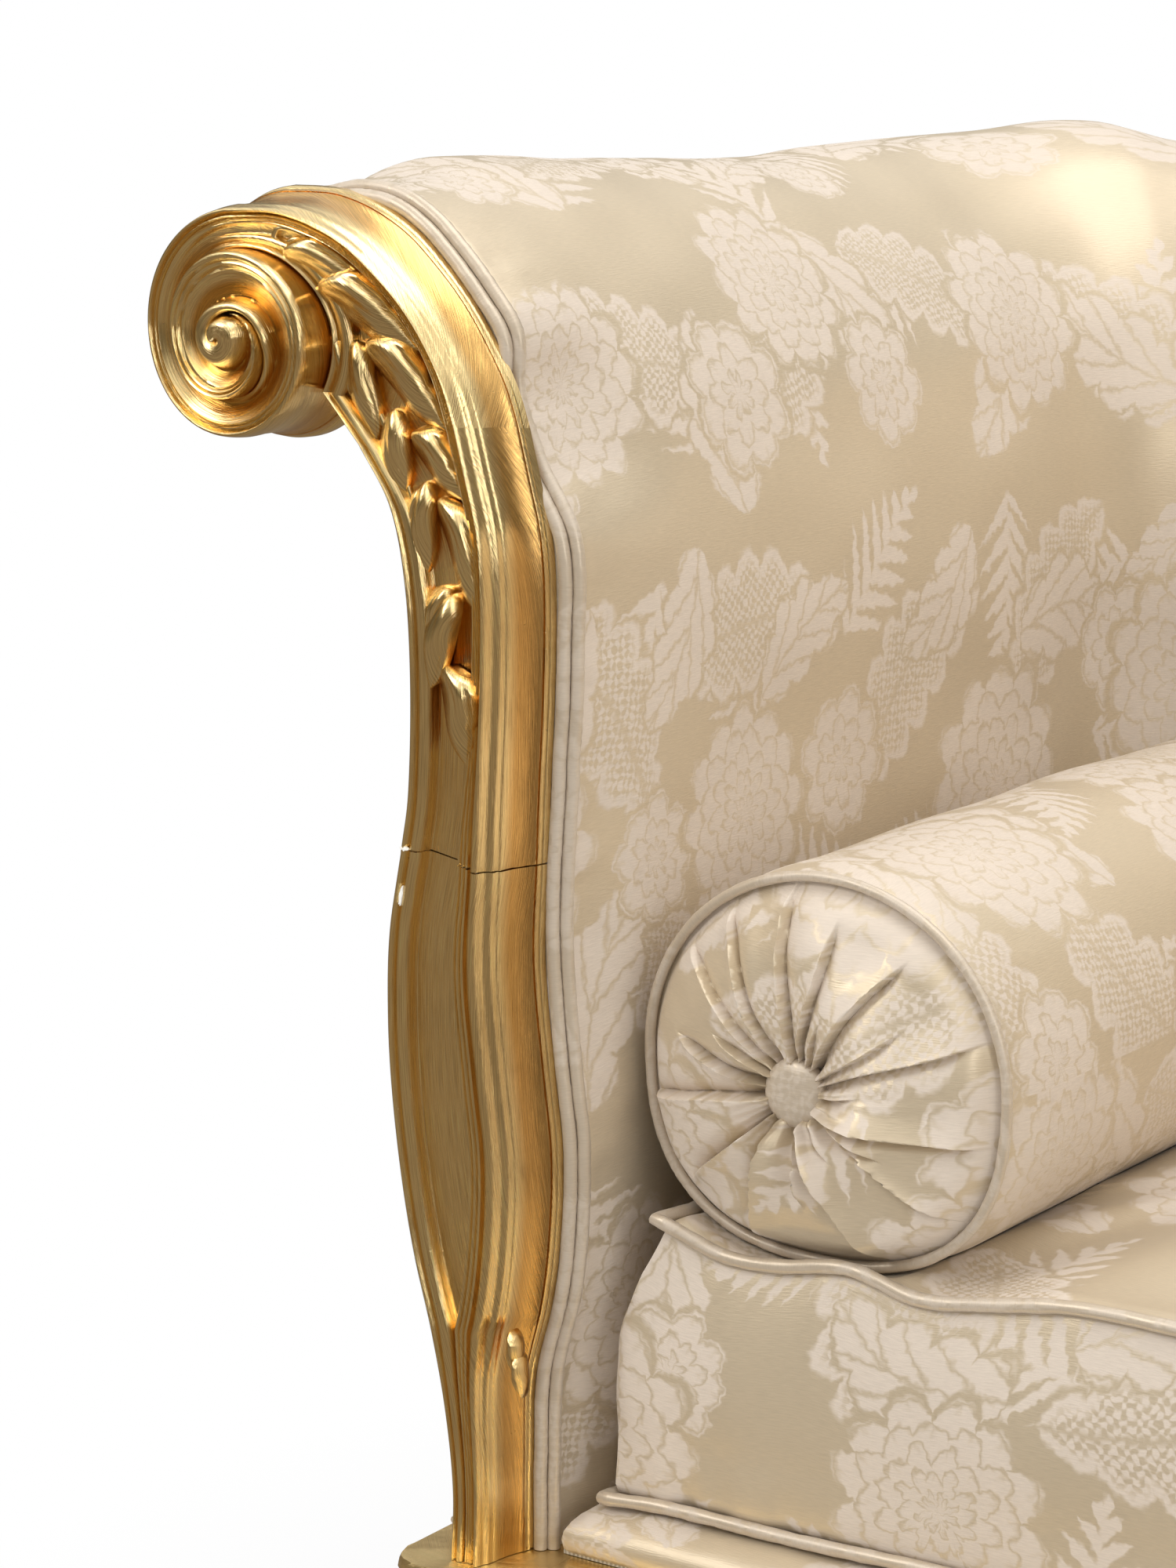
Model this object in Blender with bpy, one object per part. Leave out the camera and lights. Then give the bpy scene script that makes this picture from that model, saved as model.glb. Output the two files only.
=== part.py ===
"""Gilt scroll-arm sofa: carved posts, rolled arms and back in one sweep, a loose seat cushion and two bolsters.

Metres, +Z up, the front towards -Y, the origin on the floor under the middle of the sofa.
"""

from math import cos, hypot, pi, radians, sin, sqrt

import bmesh
import bpy
import numpy as np

# Whole sofa
OVERALL_WIDTH = 1.964
OVERALL_DEPTH = 0.854
ARM_HEIGHT = 0.956
RAIL_TOP_Z = 0.300
SEAM_Z = 0.4575
DECK_TOP_Z = 0.325
GAP = 0.0003

# Carved post and scroll
SCROLL_PROUD = 0.030
POST_WIDTH = 0.066
POST_DEPTH = 0.032
POST_COVE_START = 0.026
SCROLL_HEIGHT = 0.313
POST_STEPS = 13
STEM_STEPS = 6
VOLUTE_OUT = 0.124
VOLUTE_RADIUS = 0.047
VOLUTE_RELIEF = 0.018
EYE_RELIEF = 0.010
RING_COVE_TOP = 0.008
RING_COVE_SIDE = 0.0045
INNER_COVE = 0.014
OUTER_BEADS = 0.0155
INNER_BEADS = 0.016
BEAD_HEIGHT = 0.004
BEAD_GROOVE = 0.001
PANEL_SINK = 0.004
VOLUTE_STEPS = 24
VOLUTE_TURNS = 1.75
LEAF_HEIGHT = 0.007
LEAF_ROOT = 0.0015
LEAF_RIM_share = 0.45

# Arm and back upholstery
CORNER_RADIUS = 0.14
PAD_THICKNESS = 0.026
PAD_PROUD = 0.0085
PAD_EDGE_SINK = 0.002
PAD_EDGE_RUN = 0.0135
PAD_EDGE_BACK = 0.002
ROLL_LINES = 5
PAD_BLEND_RUN = 0.045
ARM_STEPS = 3
BEND_STEPS = 6
BACK_STEPS = 8
PAD_FOOT_REACH = 0.026
PAD_FACE_REACH = 0.040
COVER_THICKNESS = 0.004
COVER_FOOT_REACH = 0.036
UPRIGHT_OUTER = 0.025
UPRIGHT_WIDTH = 0.045
STILE_PLACE = 0.27
BACK_PAD_JOIN = 0.02
CREST_BLEND = 0.25
WELT_CORD = 0.0033

# Rails, legs and seat
RAIL_BOTTOM_Z = 0.210
RAIL_INNER = 0.034
RAIL_OUTER = 0.038
BLOCK_OUTER = 0.040
BLOCK_INNER = 0.032
BLOCK_FRONT = 0.016
BLOCK_BACK = 0.0565
FRONT_RAIL_FACE = 0.010
FRONT_RAIL_BACK = 0.041
APRON_DROP = 0.030
APRON_THICKNESS = 0.018
APRON_STEPS = 9
RAIL_MOULDING = 0.007
CROSS_RAIL_WIDTH = 0.04
CROSS_RAIL_DEPTH = 0.05
REAR_LEG_OUTER = 0.0315
REAR_LEG_INNER = 0.0255
MIDDLE_LEG_WIDTH = 0.052
GLIDE_HEIGHT = 0.004
GLIDE_RADIUS = 0.014
GLIDE_SIDES = 8
LEG_CORNER_LEAN = radians(20)
LAP = 0.008
STRAP_WIDTH = 0.05
STRAP_THICKNESS = 0.0018
STRAPS_ACROSS = 3
STRAPS_ALONG = 7
DUST_THICKNESS = 0.002
SPRING_RADIUS = 0.042
SPRING_WAIST = 0.028
SPRING_WIRE = 0.002
SPRING_TURNS = 2.5
SPRING_SIDES = 6
SPRING_WIRE_SIDES = 3
SPRINGS_PER_ROW = 6
CANVAS_THICKNESS = 0.002
CANVAS_EDGE = 0.027
DECK_EDGE = 0.031
DECK_FRONT = 0.033
DECK_ROLL = 0.016
DECK_SIDE_ROLL_share = 0.6

# Seat cushion
CUSHION_FRONT = 0.062
CUSHION_SIDE = 0.052
CUSHION_INSET = 0.010
CUSHION_BACK = 0.024
CUSHION_CORNER = 0.11
CUSHION_CROWN = 0.016
CUSHION_CORNER_STEPS = 3
CROWN_POWER_ACROSS = 6
CROWN_POWER_DEEP = 3
DRAW_POWER = 4
CUSHION_BULGE = 0.005
CUSHION_DRAW = 0.005
CUSHION_SETTLE = 0.004
CUSHION_EAR = 0.007
PIPING_RADIUS = 0.0034
PIPING_SIDES = 5

# Bolsters
BOLSTER_CLEAR = 0.0035
BOLSTER_HALF_WIDTH = 0.100
BOLSTER_HALF_HEIGHT = 0.0945
BOLSTER_FRONT = 0.080
BOLSTER_CORNER_CLEAR = 0.020
BOLSTER_DOME = 0.028
BOLSTER_SQUASH = 2.5
BOLSTER_SEAT = 0.035
PLEATS = 16
PLEAT_DEPTH = 0.0035
BUTTON_RADIUS = 0.017
BUTTON_HEIGHT = 0.009
BUTTON_SIDES = 10

# Share of the rise at which the tables below have the joint between post and scroll
JOINT_RISE_share = 0.523
# Outer and inner edge of the post from its foot to the joint, as (share of the rise, share of the post's width)
POST_OUTER_shares = ((0.0, -0.20), (0.05, -0.18), (0.11, -0.24), (0.17, -0.36), (0.23, -0.52), (0.31, -0.66),
                     (0.40, -0.73), (0.47, -0.70), (0.52, -0.60))
POST_INNER_shares = ((0.0, 0.17), (0.07, 0.176), (0.14, 0.21), (0.19, 0.345), (0.25, 0.426), (0.31, 0.439),
                     (0.36, 0.38), (0.45, 0.29), (0.52, 0.317))
# Cross lines of the scroll's stem above the joint: outer rise, outer reach, inner rise, inner reach
STEM_shares = ((0.52, -0.60, 0.52, 0.317), (0.57, -0.53, 0.57, 0.34), (0.645, -0.506, 0.645, 0.38),
               (0.715, -0.545, 0.71, 0.39), (0.77, -0.67, 0.752, 0.355), (0.812, -0.94, 0.79, 0.26))
# Rear edge of the carved wood over the shoulder, as (share of the rise, share of the post's width)
SHOULDER_shares = ((0.75, 0.36), (0.793, 0.258), (0.846, 0.097), (0.882, -0.10), (0.912, -0.31),
                   (0.938, -0.55), (0.9585, -0.78), (0.9745, -1.06), (0.9845, -1.36), (0.987, -1.62))
# Where the neck's stations lie along that edge: turn from the top, share of the edge
NECK_PLACE_shares = ((-1 / 3, 0.16), (-0.25, 0.26), (-0.125, 0.55), (0.0, 1.0))
# Radius of the spiral groove at each quarter turn from the top, as shares of the volute's radius
SPIRAL_shares = (1.277, 1.0, 0.985, 1.0, 0.866, 0.66, 0.617, 0.53, 0.42, 0.33, 0.26, 0.20, 0.16)
# Where the volute steps forward from the neck, and where its rear ring narrows, in turns from the top
RELIEF_TURN_shares = (-0.25, 0.05)
RING_TURN_share = 0.25
# Beads across the post, as shares of the outer and the inner moulding's width, and of the neck's
OUTER_BEAD_shares = (0.0, 0.22, 0.48, 0.74, 1.0)
INNER_BEAD_shares = (1.0, 0.72, 0.44, 0.22, 0.0)
NECK_BEAD_shares = (0.0, 0.06, 0.14, 0.30, 0.50)
NECK_WALL_share = 0.45
# Volute coil from the next groove outwards: place across, share of the panel's depth, share of the bead's height
COIL_shares = ((0.0, 0.0, 0.0), (0.10, 0.35, 0.0), (0.22, 1.0, 0.0), (0.36, 1.0, 0.0), (0.48, 0.3, 0.0),
               (0.58, 0.0, 0.2), (0.68, 0.0, 0.75), (0.80, 0.0, 1.0), (0.91, 0.0, 0.6), (1.0, 0.0, 0.0))
# Cove behind the inner beads: share of its width, share of its depth
COVE_shares = ((0.25, 0.35), (0.60, 0.75), (1.0, 1.0))
# Ring of the volute's eye: share of the way out from its point, share of its rise
EYE_RING_shares = (0.5, 0.7)
# Heights of the pad's face as shares of the rise, with its reach as a share of the face's reach
PAD_FACE_shares = ((0.07, 0.80), (0.14, 0.90), (0.20, 0.97), (0.26, 1.0), (0.31, 1.0), (0.38, 0.95),
                   (0.47, 0.90), (0.57, 0.90), (0.67, 0.94))
# Turns at which the pad and the welt are placed round the roll
ROLL_TURN_shares = (0.0, 0.08, 0.16, 0.24, 0.32, 0.40, 0.48, 0.555, 0.63)
# Outside cover: shares of the rise and of the post's width
COVER_shares = ((0.24, -0.62), (0.33, -0.69), (0.40, -0.72), (0.47, -0.70), (0.53, -0.59), (0.60, -0.52),
                (0.68, -0.50), (0.74, -0.56), (0.785, -0.73), (0.815, -0.97), (0.836, -1.20))
# Lift of the crest along arm, corner and half of the back: share of the path, share of the rise
CREST_shares = ((0.0, 0.0), (0.12, 0.002), (0.27, -0.007), (0.42, 0.011), (0.56, -0.016), (0.78, 0.018),
                (1.0, 0.045))
# Rows of springs, as shares of the seat's depth
SPRING_ROW_shares = (0.28, 0.70)
# Laurel leaves: rise and reach of the base and of the tip, then width as a share of the length
LEAF_shares = ((0.938, -1.42, 0.916, -0.86, 0.42), (0.908, -1.12, 0.878, -0.50, 0.44),
               (0.870, -0.78, 0.823, -0.23, 0.40), (0.815, -0.48, 0.774, -0.06, 0.42),
               (0.749, -0.23, 0.692, 0.07, 0.40), (0.648, -0.17, 0.593, 0.02, 0.40),
               (0.868, -0.95, 0.815, -0.80, 0.32), (0.825, -0.61, 0.768, -0.64, 0.30),
               (0.768, -0.42, 0.719, -0.45, 0.32), (0.705, -0.18, 0.643, -0.34, 0.40))
# Leaf outline: share of the length, share of the half width. Its rib: share of the length, share of the height
LEAF_OUTLINE_shares = ((0.0, 0.0), (0.22, 0.72), (0.5, 1.0), (0.78, 0.66), (1.0, 0.0), (0.78, -0.66),
                       (0.5, -1.0), (0.22, -0.72))
LEAF_RIB_shares = ((0.25, 0.75), (0.55, 1.0))
# Cabriole leg: share of its height, half width and outward shift as shares of its block
LEG_shares = ((1.0, 1.0, 0.0), (0.93, 1.0, 0.0), (0.82, 0.98, 0.10), (0.70, 0.90, 0.20), (0.55, 0.70, 0.16),
              (0.38, 0.52, 0.0), (0.20, 0.42, -0.08), (0.09, 0.46, 0.02), (0.04, 0.62, 0.16), (0.0, 0.50, 0.16))
# The first steps of that table belong to the block, which the middle leg hasn't got
LEG_BLOCK_STEPS = 2
REAR_LEG_shares = ((1.0, 1.0, 0.0), (0.6, 0.86, 0.0), (0.25, 0.72, 0.12), (0.0, 0.62, 0.30))
# Front rail section: share of the face's depth, share of the rail's height
RAIL_FACE_shares = ((0.55, 1.0), (1.0, 0.95), (1.0, 0.86), (0.45, 0.78), (0.20, 0.62), (0.12, 0.40),
                    (0.30, 0.20))
# Drop of the apron from the middle to the end of the rail
APRON_shares = ((0.0, 0.75), (0.24, 0.30), (0.50, 0.0), (0.84, 0.35), (1.0, 1.0))
# Seat deck: share of its height, share of the roll inwards
DECK_shares = ((0.0, 0.0), (0.35, 0.0), (0.72, 0.3), (1.0, 1.0))

# Cushion grid: columns from the middle to where the rear corners begin, rows from front to back
CUSHION_COLUMN_shares = (0.0, 0.22, 0.44, 0.64, 0.80, 0.93, 1.0)
CUSHION_ROW_shares = (0.0, 0.02, 0.10, 0.26, 0.46, 0.66, 0.84, 0.95, 1.0)
BOXING_shares = (0.22, 0.5, 0.78)
# Bolster end: share of its section, of its dome and of the pleats' depth. Its shoulder: share of its section, run
BOLSTER_END_shares = ((0.19, 0.62, 0.0), (0.25, 0.90, 0.5), (0.45, 1.0, 1.0), (0.70, 0.78, 0.8),
                      (0.87, 0.36, 0.4))
BOLSTER_SHOULDER_shares = ((0.925, 0.0), (0.965, 0.08), (1.0, 0.25))
# Covered button: share of its radius, share of its height
BUTTON_shares = ((1.0, 0.0), (1.0, 0.35), (0.72, 0.82), (0.3, 1.0))

# Sizes that follow from the ones above
LINE_X = OVERALL_WIDTH / 2 - VOLUTE_OUT - VOLUTE_RADIUS - RING_COVE_SIDE - PAD_PROUD - WELT_CORD
FRONT_Y = -OVERALL_DEPTH / 2 + SCROLL_PROUD
BACK_Y = OVERALL_DEPTH / 2 - VOLUTE_OUT - VOLUTE_RADIUS - RING_COVE_SIDE - PAD_PROUD
CORNER_Y = BACK_Y - CORNER_RADIUS
CORNER_X = LINE_X - CORNER_RADIUS
RISE = ARM_HEIGHT - RAIL_TOP_Z
JOINT_Z = ARM_HEIGHT - SCROLL_HEIGHT
VOLUTE_Z = ARM_HEIGHT - PAD_PROUD - RING_COVE_TOP - SPIRAL_shares[0] * VOLUTE_RADIUS
FOOT_Z = RAIL_TOP_Z + GAP
PAD_START = POST_DEPTH + GAP
CROSS_RAIL_PLACE = 2 * CORNER_X / SPRINGS_PER_ROW
BOLSTER_Z = SEAM_Z - CUSHION_SETTLE + 2 * GAP + BOLSTER_HALF_HEIGHT
BOLSTER_PLACE = PAD_FACE_REACH + BOLSTER_CLEAR + BOLSTER_HALF_WIDTH
BOLSTER_LENGTH = CORNER_Y - BOLSTER_CORNER_CLEAR - FRONT_Y - BOLSTER_FRONT

UP, DEEP = (0.0, 0.0, 1.0), (0.0, 1.0, 0.0)

GILT = ("gilt_wood", (0.63, 0.40, 0.11), 0.22, 1.0)
DAMASK = ("damask", (0.62, 0.53, 0.38), 0.55, 0.0)
CORD = ("cord_fabric", (0.60, 0.53, 0.44), 0.6, 0.0)
BEECH = ("beech", (0.45, 0.30, 0.17), 0.7, 0.0)
WEB = ("jute_web", (0.42, 0.33, 0.20), 0.9, 0.0)
STEEL = ("spring_steel", (0.35, 0.34, 0.33), 0.4, 1.0)
CANVAS = ("canvas", (0.62, 0.58, 0.50), 0.9, 0.0)
GLIDE = ("glide_steel", (0.55, 0.55, 0.55), 0.35, 1.0)


def clear_scene():
    for obj in list(bpy.data.objects):
        bpy.data.objects.remove(obj, do_unlink=True)


def material(look):
    name, colour, roughness, metallic = look
    found = bpy.data.materials.get(name)
    if found:
        return found
    made = bpy.data.materials.new(name)
    made.use_nodes = True
    shader = made.node_tree.nodes["Principled BSDF"]
    shader.inputs["Base Color"].default_value = (*colour, 1.0)
    shader.inputs["Roughness"].default_value = roughness
    shader.inputs["Metallic"].default_value = metallic
    made.diffuse_color = (*colour, 1.0)
    return made


def mesh_object(name, shells, look, parent=None, location=(0, 0, 0), smooth=35):
    """One object made of one or more closed shells, each a pair of points and faces."""
    points, faces = [], []
    for shell_points, shell_faces in shells:
        first = len(points)
        points.extend(tuple(map(float, p)) for p in shell_points)
        faces.extend([first + i for i in face] for face in shell_faces)
    mesh = bpy.data.meshes.new(name)
    mesh.from_pydata([tuple(a - b for a, b in zip(p, location)) for p in points], [], faces)
    work = bmesh.new()
    work.from_mesh(mesh)
    bmesh.ops.recalc_face_normals(work, faces=work.faces)
    work.to_mesh(mesh)
    work.free()
    mesh.shade_smooth()
    mesh.set_sharp_from_angle(angle=radians(smooth))
    mesh.materials.append(material(look))
    obj = bpy.data.objects.new(name, mesh)
    bpy.context.scene.collection.objects.link(obj)
    obj.parent = parent
    obj.location = (0, 0, 0) if parent else location
    return obj


def block(low, high):
    """Points and faces of a box between two corners."""
    points = [(x, y, z) for x in (low[0], high[0]) for y in (low[1], high[1]) for z in (low[2], high[2])]
    return points, [(0, 1, 3, 2), (4, 6, 7, 5), (0, 4, 5, 1), (2, 3, 7, 6), (0, 2, 6, 4), (1, 5, 7, 3)]


def loft(rings, ends=True, loop=False):
    """Points and faces of a skin through equal closed rings, with flat ends, or closed on itself as a loop.

    Every panel is split along the same diagonal, so neighbours with parallel rings stay parallel where they twist.
    """
    count = len(rings[0])
    points = [p for ring in rings for p in ring]
    faces = []
    for r in range(len(rings) if loop else len(rings) - 1):
        a, b = r * count, (r + 1) % len(rings) * count
        for i in range(count):
            n = (i + 1) % count
            faces += [(a + i, a + n, b + n), (a + i, b + n, b + i)]
    if ends and not loop:
        faces.append(tuple(range(count)))
        faces.append(tuple(len(points) - 1 - i for i in range(count)))
    return points, faces


def curve(rows, at):
    """Smooth curve through rows of (place, value, ...): a cubic between two rows, with the mean slope at each."""
    rows = np.array(rows, float)
    places, values = rows[:, 0], rows[:, 1:]
    slopes = np.empty_like(values)
    steps = np.diff(places)[:, None]
    rise = np.diff(values, axis=0) / steps
    slopes[1:-1] = (rise[:-1] * steps[1:] + rise[1:] * steps[:-1]) / (steps[1:] + steps[:-1])
    slopes[0], slopes[-1] = rise[0], rise[-1]
    k = int(np.clip(np.searchsorted(places, at) - 1, 0, len(places) - 2))
    width = places[k + 1] - places[k]
    t = min(max((at - places[k]) / width, 0.0), 1.0)
    found = (
        values[k] * (1 + 2 * t) * (1 - t) ** 2
        + slopes[k] * width * t * (1 - t) ** 2
        + values[k + 1] * t * t * (3 - 2 * t)
        - slopes[k + 1] * width * t * t * (1 - t)
    )
    return tuple(float(v) for v in found)


def ease(t):
    t = min(max(t, 0.0), 1.0)
    return t * t * (3 - 2 * t)


def offset(line, distance):
    """The open line moved sideways, to the left of its direction."""
    line = np.array(line, float)
    way = np.gradient(line, axis=0)
    way /= np.linalg.norm(way, axis=1)[:, None]
    return line + distance * np.column_stack((-way[:, 1], way[:, 0]))


# Volute and post


def groove_radius(turn):
    """Radius of the spiral groove, by turns from the top: a turn goes over the top, outwards, under and back."""
    rows = [(k / 4, share * VOLUTE_RADIUS) for k, share in enumerate(SPIRAL_shares)]
    return curve(rows, turn)[0]


def ring_cove(turn):
    """How far the ring behind the volute stands out past it: most at the top."""
    return RING_COVE_SIDE + (RING_COVE_TOP - RING_COVE_SIDE) * (1 - ease(turn / RING_TURN_share))


def volute_point(turn, radius):
    angle = 2 * pi * turn + pi / 2
    return np.array((-VOLUTE_OUT + radius * cos(angle), VOLUTE_Z + radius * sin(angle)))


def groove_relief(turn):
    """How far forward the groove lies: level with the post at the stem, and then winding forwards to the eye."""
    return -VOLUTE_RELIEF * relief_share(turn) - EYE_RELIEF * max(turn, 0.0) * 4 / len(SPIRAL_shares)


def relief_share(turn):
    """How much of the step from the neck's level to the volute's is made at a turn."""
    start, end = RELIEF_TURN_shares
    return ease((turn - start) / (end - start))


def section(outer, inner, cove, kind, turn):
    """Ten places across the band, from its outer edge or the next groove to the inner cove, each with its depth."""
    width = np.linalg.norm(inner - outer) - cove
    scale = min(1.0, width / (OUTER_BEADS + INNER_BEADS))
    beads = [INNER_BEADS * scale * share for share in INNER_BEAD_shares]
    inner_part = [(width - b) / width for b in beads]
    inner_depth = (PANEL_SINK, -BEAD_HEIGHT, 0.0, -BEAD_HEIGHT, 0.0)
    if kind == "stem":
        places = [OUTER_BEADS * scale * share / width for share in OUTER_BEAD_shares]
        depths = (PANEL_SINK, -BEAD_HEIGHT, BEAD_GROOVE, -BEAD_HEIGHT, PANEL_SINK)
        return np.array(places + inner_part), np.array(depths + inner_depth)
    places = [OUTER_BEADS * scale * share / width for share in NECK_BEAD_shares]
    wall = groove_relief(turn + 1)
    lift = groove_relief(turn)
    depths = [wall, NECK_WALL_share * wall, BEAD_GROOVE, PANEL_SINK, PANEL_SINK]
    neck_places = np.array(places + inner_part)
    neck_depths = np.array(depths + list(inner_depth))
    neck_depths[1:] += lift
    coil_places, hollow, crest = np.array(COIL_shares).T
    coil_depths = hollow * PANEL_SINK - crest * BEAD_HEIGHT
    base = wall + (lift - wall) * coil_places
    blend = relief_share(turn)
    depths = neck_depths * (1 - blend) + (coil_depths + base) * blend
    return neck_places * (1 - blend) + coil_places * blend, depths


def band_row(outer, inner, cove, kind, turn=0.0, start_depth=0.0):
    """Points (reach, depth, height) across the band: ten over its face, three down the cove, one on the back."""
    way = (inner - outer) / np.linalg.norm(inner - outer)
    width = np.linalg.norm(inner - outer) - cove
    places, depths = section(outer, inner, cove, kind, turn)
    face = [(*(outer + way * width * p), d) for p, d in zip(places, depths)]
    edge = outer + way * width
    for share, deep in COVE_shares:
        face.append((*(edge + way * cove * share), start_depth + (POST_COVE_START - start_depth) * deep))
    face.append((*inner, POST_DEPTH))
    return [(p[0], p[2], p[1]) for p in face]


def placed(points, side):
    """From reach, depth and height on the left arm to world places, turned over for the right arm."""
    return [(side * (-LINE_X + p[0]), FRONT_Y + p[1], p[2]) for p in points]


def height_at(rise):
    """Height of a share of the rise: the post below the joint stretches with the arm, the scroll keeps its size."""
    if rise <= JOINT_RISE_share:
        return RAIL_TOP_Z + rise / JOINT_RISE_share * (JOINT_Z - RAIL_TOP_Z)
    return ARM_HEIGHT - (1 - rise) / (1 - JOINT_RISE_share) * SCROLL_HEIGHT


def rise_at(z):
    """Share of the rise at a height."""
    if z <= JOINT_Z:
        return (z - RAIL_TOP_Z) / (JOINT_Z - RAIL_TOP_Z) * JOINT_RISE_share
    return 1 - (ARM_HEIGHT - z) / SCROLL_HEIGHT * (1 - JOINT_RISE_share)


def edge_points(rise_share, reach_share):
    return np.array((reach_share * POST_WIDTH, height_at(rise_share)))


def post_shell(side):
    """The lower post: the moulded band from the foot to the joint, closed by its back and two ends."""
    rings = []
    for z in spread(FOOT_Z, JOINT_Z - GAP, POST_STEPS):
        share = rise_at(z)
        outer = np.array((curve(POST_OUTER_shares, share)[0] * POST_WIDTH, z))
        inner = np.array((curve(POST_INNER_shares, share)[0] * POST_WIDTH, z))
        width = inner[0] - outer[0]
        cove = INNER_COVE * min(1.0, width / (OUTER_BEADS + INNER_BEADS + INNER_COVE))
        row = band_row(outer, inner, cove, "stem")
        row.append((outer[0], POST_DEPTH, z))
        rings.append(placed(row, side))
    return loft(rings)


def neck_inner(turn):
    """Inner edge of the neck (the rear edge of its cove) from the stem to the top of the volute."""
    count = len(SHOULDER_shares)
    rows = [(k / count, *edge_points(*row)) for k, row in enumerate(SHOULDER_shares)]
    rows.append((1.0, *volute_point(0.0, groove_radius(0.0) + ring_cove(0.0))))
    return np.array(curve(rows, curve(NECK_PLACE_shares, turn)[0]))


def scroll_shell(side):
    """The upper piece: stem, neck and volute as one closed skin whose neighbouring turns share their groove."""
    first_turn = round(VOLUTE_STEPS * NECK_PLACE_shares[0][0])
    last_turn = round(VOLUTE_STEPS * VOLUTE_TURNS)
    index, points, faces = {}, [], []

    def put(key, place):
        if key not in index:
            index[key] = len(points)
            points.append(place)
        return index[key]

    rows = []
    low = [(k, *row) for k, row in enumerate(STEM_shares)]
    for k in range(STEM_STEPS):
        outer_rise, outer_reach, inner_rise, inner_reach = curve(low, (len(low) - 1) * k / (STEM_STEPS - 1))
        outer, inner = edge_points(outer_rise, outer_reach), edge_points(inner_rise, inner_reach)
        if k == 0:
            outer[1] = inner[1] = JOINT_Z
        row = placed(band_row(outer, inner, INNER_COVE, "stem") + [(outer[0], POST_DEPTH, outer[1])], side)
        rows.append([put(("stem", k, j), p) for j, p in enumerate(row)])
    for n in range(first_turn, last_turn + 1):
        turn = n / VOLUTE_STEPS
        edge = volute_point(turn, groove_radius(turn + 1))
        if turn < 0:
            inner = neck_inner(turn)
            cove = INNER_COVE + (RING_COVE_TOP - INNER_COVE) * ease(1 - turn / NECK_PLACE_shares[0][0])
            start = groove_relief(turn)
        else:
            cove = ring_cove(turn)
            inner = volute_point(turn, groove_radius(turn) + cove)
            start = groove_relief(turn)
        row = placed(band_row(edge, inner, cove, "coil", turn, start), side)
        keys = [("groove", n + VOLUTE_STEPS)] + [("face", n, j) for j in range(1, 9)]
        keys += [("groove", n) if n >= 0 else ("face", n, 9)]
        if n <= first_turn + VOLUTE_STEPS:
            keys += [("wall", n, j) for j in range(10, 14)]
        rows.append([put(key, p) for key, p in zip(keys, row)])
    contact = first_turn + VOLUTE_STEPS
    contact_row = rows[STEM_STEPS + contact - first_turn]
    # Faces across the band, station by station
    for a, b in zip(rows, rows[1:]):
        wide = min(len(a), len(b), 14)
        faces.extend((a[j], a[j + 1], b[j + 1], b[j]) for j in range(wide - 1))
    # Outer wall of the stem, from its face edge straight to the back
    for a, b in zip(rows[: STEM_STEPS - 1], rows[1:STEM_STEPS]):
        faces.append((a[14], a[0], b[0], b[14]))
    last_stem, first_neck = rows[STEM_STEPS - 1], rows[STEM_STEPS]
    wall = [contact_row[j] for j in range(9, 14)]
    faces.append((last_stem[14], last_stem[0], first_neck[0], *wall[1:]))
    # Eye: a ring and a point inside the last groove
    loop = [index[("groove", n)] for n in range(last_turn, last_turn + VOLUTE_STEPS + 1)] + rows[-1][1:9]
    eye = volute_point(0.0, 0.0)
    front = min(p[1] for p in points)
    centre = np.array(placed([(eye[0], 0.0, eye[1])], side)[0])
    centre[1] = front
    ring = []
    for i in loop:
        place = np.array(points[i])
        mid = centre + (place - centre) * EYE_RING_shares[0]
        mid[1] = place[1] + (front - place[1]) * EYE_RING_shares[1]
        points.append(tuple(mid))
        ring.append(len(points) - 1)
    centre[1] = FRONT_Y - SCROLL_PROUD
    points.append(tuple(centre))
    apex = len(points) - 1
    for k in range(len(loop)):
        m = (k + 1) % len(loop)
        faces.append((loop[k], loop[m], ring[m], ring[k]))
        faces.append((ring[k], ring[m], apex))
    # Back and bottom
    back = [row[14] for row in rows[:STEM_STEPS]]
    back += [rows[STEM_STEPS + n][13] for n in range(contact - first_turn, -1, -1)]
    back += [rows[k][13] for k in range(STEM_STEPS - 1, -1, -1)]
    faces.append(tuple(back))
    faces.append(tuple(rows[0]))
    return points, faces


def leaf_shell(side, row):
    """A laurel leaf: a pointed oval with a raised midrib, its root sunk into the panel."""
    base, tip = edge_points(row[0], row[1]), edge_points(row[2], row[3])
    way = tip - base
    length = np.linalg.norm(way)
    way /= length
    across = np.array((-way[1], way[0]))
    half = row[4] * length / 2
    rim, crown = [], []
    for along, wide in LEAF_OUTLINE_shares:
        place = base + way * along * length + across * wide * half
        rim.append((place[0], PANEL_SINK + LEAF_ROOT, place[1]))
        crown.append((place[0], PANEL_SINK - LEAF_HEIGHT * LEAF_RIM_share, place[1]))
    rib = [(*(base + way * s * length), PANEL_SINK - LEAF_HEIGHT * tall) for s, tall in LEAF_RIB_shares]
    rib = [(p[0], p[2], p[1]) for p in rib]
    points = placed(rim + crown + rib, side)
    faces = [tuple(range(8))] + [(i, (i + 1) % 8, 8 + (i + 1) % 8, 8 + i) for i in range(8)]
    faces += [(8, 9, 16), (9, 10, 17, 16), (10, 11, 17), (11, 12, 17)]
    faces += [(12, 13, 17), (13, 14, 17), (14, 15, 16, 17), (15, 8, 16)]
    return points, faces


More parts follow.
